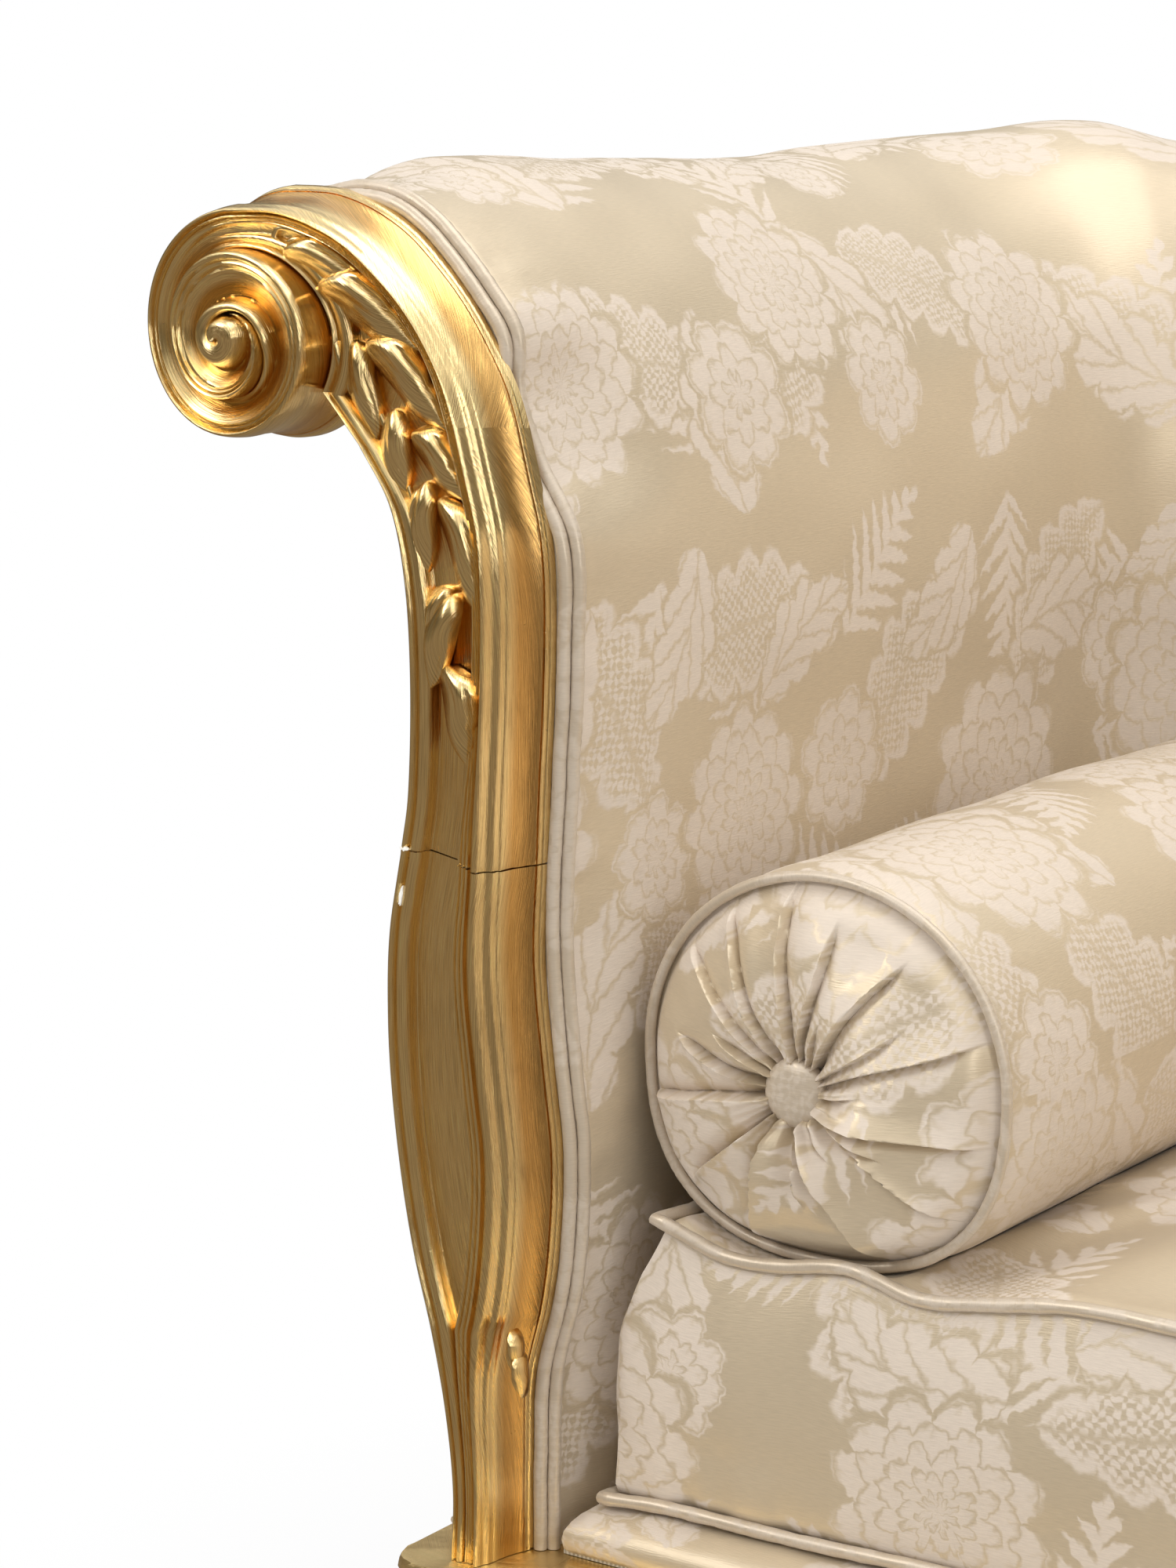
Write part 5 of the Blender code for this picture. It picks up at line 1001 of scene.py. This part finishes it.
def cushion_outline(grow, ear=0.0, tuck=0.0, count=900):
    """The cushion from above, from the middle of the front anticlockwise, grown out, its front corners tucked in."""
    right, front = CUSHION_RIGHT + grow, CUSHION_FRONT - grow
    line = half_outline(right, front, CUSHION_REAR + grow, 0.11 + grow, (90, 41, 24, 81), 1)
    line[:, 1] += 0.005 * (1 - (line[:, 0] / right) ** 4) * np.clip((front + 0.05 - line[:, 1]) / 0.05, 0, 1)
    line += ear * np.outer(bell(np.linalg.norm(line - (right, front), axis=1), 0.014), (0.7, -0.7))
    line[:, 0] -= tuck * bell(np.linalg.norm(line - (right, front), axis=1), 0.08)
    line = both_halves(line)
    ring = np.vstack((line, line[:1]))
    run = lengths(ring)
    at = np.linspace(0, run[-1], count, endpoint=False)
    return np.column_stack([np.interp(at, run, ring[:, k]) for k in (0, 1)]), at


def seam_height(line):
    """Height of the cushion's top seam: it waves gently, and dips beside the corners."""
    x, y = np.abs(line[:, 0]), line[:, 1]
    corner = bell(np.abs(x - CUSHION_RIGHT + 0.05), 0.035) * (y < CUSHION_FRONT + 0.02)
    wave = graph(SEAM_WAVE, CUSHION_RIGHT - x) * ease((CUSHION_FRONT + 0.10 - y) / 0.09)
    return SEAM + 0.0016 * ripple(line, 0.34, 41) + 0.001 * ripple(line, 0.12, 42) - 0.003 * corner + wave


def cushion():
    """Boxed cushion: top loops from a middle line out to the seam, boxing that bulges, and a flat underside."""
    line, run = cushion_outline(0, 0.004, CUSHION_TUCK)
    high = seam_height(line)
    spine = cols(np.clip(line[:, 0], 0.26 - CUSHION_RIGHT, CUSHION_RIGHT - 0.26), (CUSHION_FRONT + CUSHION_REAR) / 2)
    rows, uvs = [], []
    for r in np.append(np.linspace(0.01, 0.88, 22), np.linspace(0.90, 1, 14)):
        place = spine + (line - spine) * r
        x, y = place.T
        depth = np.clip((y - CUSHION_FRONT) / (CUSHION_REAR - CUSHION_FRONT), 0, 1)
        crown = (1 - np.abs(x / CUSHION_RIGHT) ** 6) * (1 - np.abs(2 * depth - 1) ** 3) * 0.015
        edge = 1 - r
        level = high + (high.mean() - high) * ease(edge / 0.8)
        lip = level + crown * ease(edge / 0.35) + 0.0035 * np.sqrt(np.clip(edge / 0.04, 0, 1))
        near = np.exp(-edge / 0.09) * (r < 0.999) * ease(edge / 0.02)
        lip += 0.0016 * near * ripple(cols(run, r * 0.025), 0.045, 51)
        lip += 0.0012 * ripple(place, 0.16, 52) * ease(edge / 0.1)
        front = ease((y - (BOLSTER_Y0 - 0.02)) / 0.015) * (1 - ease((y - BOLSTER_Y1) / 0.02))
        pressed = (bolster_under(x) - 0.0008) * front + lip * (1 - front)
        below = (np.abs(np.abs(x) - BOLSTER_X) < BOLSTER_W) & (front > 0)
        rows.append(cols(x, y, np.where(below, np.minimum(lip, pressed), lip)))
        uvs.append(place + (0.31, 0.06))
    boxing = len(rows)
    for share in np.linspace(0, 1, 34)[1:]:
        bulge = 0.0055 * np.sin(pi * share) ** 0.6 + 0.0035 * np.sin(pi * min(share * 1.3, 1))
        ear = 0.004 * (1 - 2 * min(share, 0.5)) + 0.006 * max(2 * share - 1, 0)
        ring, _ = cushion_outline(0.010 * share + bulge, ear, CUSHION_TUCK * (1 - ease(share / 0.45)))
        corner = bell(np.linalg.norm(np.abs(ring) - (CUSHION_RIGHT, -CUSHION_FRONT), axis=1), 0.075)
        seams = np.exp(-share / 0.13) + np.exp((share - 1) / 0.16)
        pucker = (0.0006 + 0.0028 * corner) * ripple(cols(run, share * 0.03), 0.028, 61) * seams
        pucker += 0.0022 * ripple(cols(run, share * 0.09), 0.17, 62) * np.sin(pi * share)
        pucker += 0.004 * corner * np.exp((share - 1) / 0.25) * ripple(cols(run, share * 0.06), 0.045, 63)
        pucker *= np.sin(pi * np.clip(share, 0.04, 0.96)) ** 0.4
        way = unit(np.roll(ring, -1, 0) - np.roll(ring, 1, 0))
        x, y = (ring + cols(way[:, 1], -way[:, 0]) * pucker[:, None]).T
        rows.append(cols(x, y, high + (CUSHION_BOTTOM + 0.003 - high) * share))
        uvs.append(cols(run + 0.09, 0.43 - 0.125 * share))
    ring, _ = cushion_outline(0.002)
    for r, drop in ((1, 0.003), (0.97, 0.0036), (0.5, 0.0036), (0.02, 0.0036)):
        place = spine + (ring - spine) * r
        rows.append(cols(*place.T, CUSHION_BOTTOM - drop))
        uvs.append(place)
    uv = lap(np.array(uvs))
    uv[boxing:-4, -1, 0] += run[-1] + run[1]
    piece(solid("seat cushion", np.array(rows), looks()["silk"], uv, smooth=75), "seat_cushion", True)
    top, _ = cushion_outline(CUSHION_CORD + 0.0001, 0.006, CUSHION_TUCK)
    low, _ = cushion_outline(0.010 + CUSHION_CORD, 0.007)
    low_z = np.maximum(CUSHION_BOTTOM + 0.0005 + 0.0012 * ripple(low, 0.2, 72), DECK_TOP + 0.0038)
    piping("seat piping top", cols(*top.T, seam_height(top) + 0.0012), "seat_cushion", CUSHION_CORD, 71)
    piping("seat piping bottom", cols(*low.T, low_z), "seat_cushion", CUSHION_CORD, 73)


def piping(name, line, body, radius, seed, across=(0, 0, 1)):
    """A covered cord in a ring, with the small gathers of its bias cover."""
    run = lengths(line)[:, None]
    gather = 0.06 * ripple(cols(run, circle(12) * 0.006), 0.007, seed)
    gather += 0.07 * ripple(cols(run, 0 * circle(12)), 0.022, seed + 1)
    piece(tube(name, line, radius * (1 + gather), radius, "cord", 12, across, True), body, True)


def section(angle, share=1.0):
    """The bolster's section: round above, and squashed flatter below, |x|^2.5 + |z|^2.5 = 1."""
    power = np.where(np.sin(angle) < 0, 0.8, 1)
    x, z = (np.abs(part) ** power * np.sign(part) for part in (np.cos(angle), np.sin(angle)))
    return BOLSTER_W * share * x, BOLSTER_H * share * z


def bolster_end(angle, side, way, y, seed):
    """Rings of points and places over a pleated end: dome(r) + fold(a) f(r), sharp valleys between soft ridges."""
    dome = ((0.10, 0.50), (0.17, 0.58), (0.25, 0.84), (0.36, 1), (0.55, 0.93), (0.75, 0.66), (0.87, 0.36), (0.93, 0),
            (0.96, -0.05))
    rings = []
    for r in np.concatenate((np.linspace(0.12, 0.30, 14), np.linspace(0.32, 0.93, 36), (0.945,))):
        fold = 0 * angle
        for degrees, far, deep, turn in PLEATS:
            c = radians(degrees)
            gap = (angle - c - turn * (r - far) * 1.2 + 0.035 * np.sin(8 * r + c * 7) * (1 - r) + pi) % (2 * pi) - pi
            arc = gap * r * BOLSTER_W
            fade = ease((far - r) / 0.16) * ease((r - 0.10) / 0.06) * (0.85 + 0.15 * ease((0.75 - r) / 0.5))
            over = ease((arc + 0.0005) / 0.0012)
            ridge, valley = np.exp(-np.maximum(arc, 0) / 0.0085), np.exp(np.minimum(arc, 0) / 0.0030)
            fold += deep * fade * (0.0046 * over * ridge - 0.0050 * (1 - over) * valley)
        around = cols(np.cos(angle), np.sin(angle), seed) * r
        fold += 0.0022 * ripple(around, 0.55, 83 + seed) * ease((0.95 - r) / 0.2)
        fold += 0.0010 * ripple(cols(angle * 2.4, r * 0.6), 0.9, 85) * ease((0.95 - r) / 0.25)
        fold += 0.0011 * np.sin(angle * 31 + 3 * np.sin(angle * 5)) * ease((0.40 - r) / 0.22)
        x, z = section(angle, r)
        x, z = x - side * 0.0045 * (1 - r), z - 0.0085 * (1 - r)
        rings.append((cols(x, y + way * (BOLSTER_DOME * graph(dome, r) + fold), z), cols(x, z)))
    return rings


def bolster(side, label):
    """Bolster: pleated domed ends round a sunk middle, a shoulder at the piping and a softly waved body."""
    count, round_it, body = 430, 0.098, f"bolster_{label}"
    fine = np.linspace(0, 2 * pi, 4000)
    gaps = (fine[:, None] - np.radians(PLEATS)[:, 0] + pi) % (2 * pi) - pi
    dense = np.cumsum(1 + 5 * bell(gaps, 0.05).sum(1))
    angle = np.interp(np.linspace(dense[0], dense[-1], count, endpoint=False), dense, fine)
    front = [(point, uv + (0.40, 0.20)) for point, uv in bolster_end(angle, side, -1, BOLSTER_Y0, 0)]
    rear = [(point, uv + 0.1) for point, uv in bolster_end(angle, side, 1, BOLSTER_Y1, 1)[::-1]]
    middle, shoulder = [], 0.022
    body_rows = np.linspace(0, 0.02, 10), np.linspace(0.026, 0.374, 56), np.linspace(0.38, BOLSTER_LONG, 10)
    for y in np.concatenate(body_rows):
        near = min(y, BOLSTER_LONG - y)
        x, z = section(angle, 0.945 + 0.055 * np.sqrt(min(near / shoulder, 1)))
        wave = 0.0018 * ripple(cols(np.cos(angle), np.sin(angle), y * 9), 1.6, 91)
        gathers = ripple(cols(angle * round_it, y * 0.4), 0.024, 92)
        wave += 0.0009 * np.exp(-near / 0.03) * gathers * ease(near / 0.006)
        keep = ease((near - 0.004) / 0.03) * np.clip(1 + 2 * np.sin(angle), 0, 1) + np.exp(-near / 0.02) * 0.3
        grow = 1 + wave * keep / BOLSTER_W
        middle.append((cols(x * grow, BOLSTER_Y0 + y, z * grow), cols(y + 0.22, angle * round_it + 0.02)))
    rows, uvs = (np.array(parts) for parts in zip(*front, *middle, *rear))
    uv = lap(uvs)
    uv[len(front):-len(rear), -1, 1] += 2 * pi * round_it
    centre = np.array((-side * BOLSTER_X, 0, BOLSTER_Z))
    piece(solid(f"bolster {label}", rows + centre, looks()["silk"], uv, smooth=80), body, True)
    x, z = section(circle(240), 0.965)
    for end, y, way in (("front", BOLSTER_Y0, -1), ("rear", BOLSTER_Y1, 1)):
        line = cols(x, y + way * 0.0017, z) + centre
        piping(f"bolster piping {end} {label}", line, body, bpy.context.scene.sofa.bolster_cord, 95, (0, 1, 0))
        place = centre + (-side * 0.0040, y + way * BOLSTER_DOME * 0.60, -0.0075)
        button(f"bolster button {end} {label}", body, place, way)
    if label == "left":
        t = np.linspace(0, 1, 40)
        line = cols(0.006 * np.sin(7 * t) - 0.020, 0.117 + 0.010 * t + 0.003 * np.sin(9 * t),
                    0.0930 + 0.0085 * np.sin(pi * t) ** 0.7)
        piece(tube("loose thread", line + centre, 0.00035, 0.00035, "gesso", 8), body)


def button(name, body, centre, way):
    """Covered button: a low dome whose rim turns under, with the faint puckers of the cloth drawn round it."""
    a = circle(72)
    rows, uvs = [], []
    for r, h in ((0.55, -0.10), (0.86, -0.06), (0.97, 0.02), (1, 0.16), (1, 0.32), (0.985, 0.46), (0.95, 0.60),
                 (0.90, 0.71), (0.80, 0.83), (0.66, 0.92), (0.48, 0.975), (0.28, 0.995), (0.08, 1)):
        radius = 0.0165 * r + 0.00015 * np.sin(a * 31) * (0.5 < r) * (h < 0.6)
        x, z = radius * np.cos(a), radius * np.sin(a)
        wave = 0.0002 * ripple(cols(np.cos(a), np.sin(a)) * r, 0.9, 97) * (h > 0.5)
        rows.append(cols(x, way * (0.0085 * h + wave), z))
        uvs.append(cols(x, z) + (0.02, 0.05))
    piece(solid(name, np.array(rows) + centre, looks()["cord"], lap(np.array(uvs)), smooth=60), body, True)


# Legs and rails

LEG = ((1, 1, 0), (0.93, 1, 0), (0.82, 0.98, 0.10), (0.70, 0.90, 0.20), (0.55, 0.70, 0.16), (0.38, 0.52, 0),
       (0.20, 0.42, -0.08), (0.09, 0.46, 0.02), (0.04, 0.62, 0.16), (0, 0.50, 0.16))
REAR_LEG = ((1, 1, 0), (0.6, 0.86, 0), (0.25, 0.72, 0.12), (0, 0.62, 0.30))
GLIDE_TOP = 0.0043


def leg(name, table, centre, half, top, shift, side=1, lip=0.0):
    """Cabriole leg: rounded square sections with a raised arris, from the table's width and outward shift."""
    share = np.linspace(1, 0, 120)
    wide, shifted = curve(sorted(table), share).T[..., None]
    angle = circle(64)
    square = (np.abs(np.cos(angle)) ** 5 + np.abs(np.sin(angle)) ** 5) ** (-1 / 5)
    quarter = (angle + pi / 4) % (pi / 2)
    arris = 1 + 0.022 * (bell(quarter - 0.30, 0.07) + bell(quarter - 1.27, 0.07))
    edge = (1 + lip * bell(share - 0.985, 0.012) - 0.02 * bell(share - 0.955, 0.01) * (lip > 0))[:, None]
    wide = wide * edge * square * arris
    x = centre[0] + shift[0] * shifted + half[0] * wide * np.cos(angle)
    y = centre[1] + shift[1] * shifted + half[1] * wide * np.sin(angle)
    z = (GLIDE_TOP + (top - GLIDE_TOP) * share)[:, None]
    # Painted shade for the gold over the leg: none on the raised arrises and the lip, most in the groove under the
    # lip.
    gild(name, cols(side * x, y, z), np.clip((1.02 - arris * edge) * 20, 0, 0.6), True, 50)


def legs():
    """Legs under the posts, at the rear corners and in the middle of the front and the back."""
    reach, depth, rear, under = 0.036, 0.03625, 0.0285, RAIL_BOTTOM - 0.0003
    radial, half = (CORNER + 0.003) / 2 ** 0.5, rear / 2 ** 0.5
    for side, label in SIDES:
        centre = (-LINE_X - 0.040 + reach, FRONT_Y - 0.016 + depth)
        leg(f"front leg {label}", LEG, centre, (reach, depth), RAIL_TOP, (-reach, -depth), side, 0.05)
        corner = (-CORNER_X - radial, CORNER_Y + radial)
        leg(f"rear leg {label}", REAR_LEG, corner, (half, half), under, (-half, half), side)
    middle = [(h / LEG[2][0], w, o) for h, w, o in LEG[2:]]
    leg("front leg middle", middle, (0, FRONT_Y + 0.0067), (0.026, 0.026), under, (0, -0.026))
    leg("rear leg middle", REAR_LEG, (0, BACK_Y + 0.0028), (rear, rear), under, (0, rear))


def rails():
    """Moulded front rail with its shaped apron, and the gilt side and back rails."""
    end, clear = LINE_X - 0.0323, 0.0003
    face, back = FRONT_Y - 0.010, FRONT_Y + 0.041
    apron = ((0, 0.75), (0.24, 0.30), (0.50, 0), (0.84, 0.35), (1, 1))
    long = np.linspace(0.0267, end, 130)
    x = np.concatenate((-long[::-1], np.linspace(-0.0264, 0.0264, 12), long))
    low = RAIL_BOTTOM - np.where(np.abs(x) > 0.0266, np.maximum(graph(apron, np.abs(x) / end), 0) * 0.030, 0)
    profile = ((0.009, 0), (0.004, -0.001), (0.0012, -0.004), (0, -0.009), (0.0008, -0.013), (0.0032, -0.016),
               (0.0034, -0.018), (0.0026, -0.021), (0.004, -0.024), (0.0062, -0.03), (0.007, -0.038), (0.0068, -0.05),
               (0.0058, -0.062))
    out_edge = ((0.0052, 0.013), (0.003, 0.011), (0.0018, 0.008), (0.0026, 0.005), (0.0036, 0.003), (0.006, 0))
    rows = []
    for place, bottom in zip(x, low):
        ring = [(back, RAIL_TOP), *((face + d, RAIL_TOP + z) for d, z in profile),
                *((face + d, bottom + z) for d, z in out_edge), (face + 0.018, bottom),
                (face + 0.018, RAIL_BOTTOM + clear), (back, RAIL_BOTTOM + clear)]
        rows.append([(place, *point) for point in ring])
    grid = np.array(rows)
    # Painted shade on the front rail's set-back lower face, down to the apron's edge.
    tint = np.zeros(grid.shape[:2])
    tint[:, 9:16] = 0.4
    gild("front rail", grid, tint, True, 40)
    seam = ARM + BEND
    reach, z = np.array((
        (-0.0385, 0), (-0.0395, -0.003), (-0.0398, -0.008), (-0.039, -0.012), (-0.0372, -0.015), (-0.0368, -0.03),
        (-0.0368, -0.062), (-0.0375, -0.074), (-0.0392, -0.078), (-0.0398, -0.083), (-0.039, -0.088), (-0.037, -0.09),
        (0.034, -0.09), (0.034, 0))).T
    for name, span in zip(("side rail left", "back rail", "side rail right"), spans(0.0568, seam, seam + clear)):
        grid = along_path(np.linspace(*span, 120), reach, RAIL_TOP + z)
        # Painted shade on the side and back rails' set-back band.
        gild(name, grid, np.tile(np.where((z < -0.014) & (z > -0.075), 0.4, 0), (120, 1)), True, 40)


def plain_nodes():
    """Finishes for the CAD nodes that stay as they are."""
    kinds = {"beech": ("arm_top_rail", "back_top_rail", "corner_post", "back_stile", "cross_rail"),
             "web": ("seat_webbing",), "canvas": ("spring_canvas", "dust_cover"),
             "steel": ("seat_springs", "front_glide", "rear_glide")}
    for name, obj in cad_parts.items():
        for look, starts in kinds.items():
            if name.startswith(starts):
                obj.data.materials.clear()
                obj.data.materials.append(looks()[look])


# Stage

# Colour of the room low down: the world's lowest light, and the floor's glow for glossy rays.
ROOM_LOW = (0.25, 0.205, 0.155)


def emission(tree, colour):
    """A surface that shines in one colour."""
    return out(node(tree, "Emission", Color=(*colour, 1.0), Strength=1.0))


def stage(lens):
    """Pale floor, which glows in the room's colour for glossy rays as a painted reflection, soft light, and the
    photograph's camera on the left arm's front.
    """
    scene = bpy.context.scene
    floor = bpy.data.meshes.new("floor")
    floor.from_pydata([(-9, -9, 0), (9, -9, 0), (9, 9, 0), (-9, 9, 0)], [], [(0, 1, 2, 3)])
    look, tree, shader = new_material("pale floor", (0.86, 0.86, 0.86), 0.9)
    ray = node(tree, "LightPath")
    away = out(node(tree, "VectorMath", {"operation": "LENGTH"}, i0=coordinates(tree)), "Value")
    plain = ((away - 0.9) * 1.6).clamp() * 0.45 + 0.55
    white = node(tree, "MixShader", i0=out(ray, "Is Camera Ray") * plain, i1=out(shader),
                 i2=emission(tree, (1, 1, 1)))
    # For glossy rays the floor glows in the low room's colour instead of its own: a painted reflection for the gold
    # and the satin.
    mirrored = node(tree, "MixShader", i0=out(ray, "Is Glossy Ray"), i1=out(white), i2=emission(tree, ROOM_LOW))
    feed(tree.nodes["Material Output"], i0=out(mirrored))
    floor.materials.append(look)
    ground = bpy.data.objects.new("floor", floor)
    scene.collection.objects.link(ground)
    world = scene.world = bpy.data.worlds.new("soft room")
    world.use_nodes = True
    tree = world.node_tree
    ray = node(tree, "LightPath")
    height = split(coordinates(tree, "Generated"))[2] * 0.5 + 0.5
    room = ramp(height, (0.0, ROOM_LOW), (0.46, (0.20, 0.165, 0.12)), (0.58, (0.12, 0.10, 0.07)),
                (0.68, (0.34, 0.31, 0.26)), (0.78, (1.0, 0.98, 0.93)), (1.0, (0.85, 0.85, 0.85)))
    mirror = mixed(out(ray, "Is Glossy Ray"), (0.70, 0.70, 0.70), room)
    feed(tree.nodes["Background"], i0=mixed(out(ray, "Is Camera Ray"), mirror, (1.0, 1.0, 1.0)))
    for name, place, aim, size, energy in (
        ("key softbox", (-1.9, -2.3, 2.5), (-0.7, -0.3, 0.8), (1.3, 1.6), 32.0),
        ("top softbox", (-0.2, 0.1, 3.0), (-0.6, -0.1, 0.6), (2.6, 1.6), 36.0),
        ("right softbox", (2.3, -1.5, 1.7), (-0.6, -0.2, 0.7), (1.2, 1.8), 20.0),
    ):
        data = bpy.data.lights.new(name, "AREA")
        data.shape, data.size, data.size_y, data.energy = "RECTANGLE", *size, energy
        lamp = bpy.data.objects.new(name, data)
        lamp.location = place
        x, y, z = np.subtract(aim, place)
        lamp.rotation_euler = (np.arctan2(np.hypot(x, y), -z), 0, np.arctan2(y, x) - pi / 2)
        scene.collection.objects.link(lamp)
    camera = scene.camera = bpy.data.objects.new("camera", bpy.data.cameras.new("camera"))
    camera.data.lens = lens
    camera.location = (0.315, -1.888, 1.051)
    camera.rotation_euler = (radians(90 - 11.3), 0, radians(35))
    scene.collection.objects.link(camera)
    scene.view_settings.view_transform = "Standard"


# Add-on


def colour_property(name, description, default):
    return FloatVectorProperty(name=name, description=description, subtype="COLOR", size=3, min=0.0, max=1.0,
                               default=default)


class SofaSettings(bpy.types.PropertyGroup):
    lens: FloatProperty(name="Lens", description="Focal length of the stage camera in millimetres", unit="CAMERA",
                        default=94.7, min=20.0, max=300.0)
    ground: colour_property("Silk Ground", "Colour of the damask's satin ground", (0.590, 0.485, 0.340))
    flower: colour_property("Silk Flowers", "Colour of the damask's woven flowers", (0.650, 0.555, 0.455))
    cord: colour_property("Cord Silk", "Colour of the silk round the welts and the piping", (0.56, 0.465, 0.35))
    gold: colour_property("Gold", "Colour of the burnished leaf where it stands proud", (0.90, 0.68, 0.34))
    # Colour of the painted shade in the gold's hollows.
    hollow_shade: colour_property("Gold in Hollows", "Colour of the leaf in the grooves", (0.62, 0.31, 0.060))
    bolster_cord: FloatProperty(name="Bolster Piping", description="Radius of the piping round the bolsters' ends",
                                subtype="DISTANCE", unit="LENGTH", default=0.0026, min=0.001, max=0.006)


class SofaOperator:
    bl_options = {"REGISTER", "UNDO"}


class OBJECT_OT_sofa_carving(SofaOperator, bpy.types.Operator):
    """Carves the gilt posts, scrolls, laurel sprays, legs and rails"""

    bl_idname, bl_label = "object.sofa_carving", "Carving"

    def execute(self, context):
        for side, label in SIDES:
            carve(side, label)
        legs()
        rails()
        return {"FINISHED"}


class OBJECT_OT_sofa_upholstery(SofaOperator, bpy.types.Operator):
    """Pads the arms, back and seat deck, and lays the double welts"""

    bl_idname, bl_label = "object.sofa_upholstery", "Upholstery"

    def execute(self, context):
        upholster()
        for side, label in SIDES:
            welt(side, label)
        deck()
        return {"FINISHED"}


class OBJECT_OT_sofa_cushions(SofaOperator, bpy.types.Operator):
    """Fills the loose seat cushion and the two bolsters"""

    bl_idname, bl_label = "object.sofa_cushions", "Cushions"

    def execute(self, context):
        cushion()
        for side, label in SIDES:
            bolster(side, label)
        return {"FINISHED"}


class OBJECT_OT_sofa_finishes(SofaOperator, bpy.types.Operator):
    """Gives the hidden frame, springs and webbing their finishes"""

    bl_idname, bl_label = "object.sofa_finishes", "Hidden Finishes"

    def execute(self, context):
        plain_nodes()
        return {"FINISHED"}


class OBJECT_OT_sofa_stage(SofaOperator, bpy.types.Operator):
    """Sets up the floor, the lights and the camera"""

    bl_idname, bl_label = "object.sofa_stage", "Stage"

    def execute(self, context):
        stage(context.scene.sofa.lens)
        return {"FINISHED"}


class VIEW3D_PT_sofa(bpy.types.Panel):
    bl_label, bl_category, bl_space_type, bl_region_type = "Sofa", "Sofa", "VIEW_3D", "UI"

    def draw(self, context):
        for name in SofaSettings.__annotations__:
            self.layout.prop(context.scene.sofa, name)
        for operator in OPERATORS:
            self.layout.operator(operator.bl_idname)


OPERATORS = (OBJECT_OT_sofa_carving, OBJECT_OT_sofa_upholstery, OBJECT_OT_sofa_cushions, OBJECT_OT_sofa_finishes,
             OBJECT_OT_sofa_stage)
CLASSES = (SofaSettings, *OPERATORS, VIEW3D_PT_sofa)


def register():
    for item in CLASSES:
        bpy.utils.register_class(item)
    bpy.types.Scene.sofa = PointerProperty(type=SofaSettings)


def unregister():
    del bpy.types.Scene.sofa
    for item in reversed(CLASSES):
        bpy.utils.unregister_class(item)


def main():
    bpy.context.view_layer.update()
    register()
    bpy.ops.object.sofa_carving()
    bpy.ops.object.sofa_upholstery()
    bpy.ops.object.sofa_cushions()
    bpy.ops.object.sofa_finishes()
    bpy.ops.object.sofa_stage()


if __name__ == "__main__":
    main()
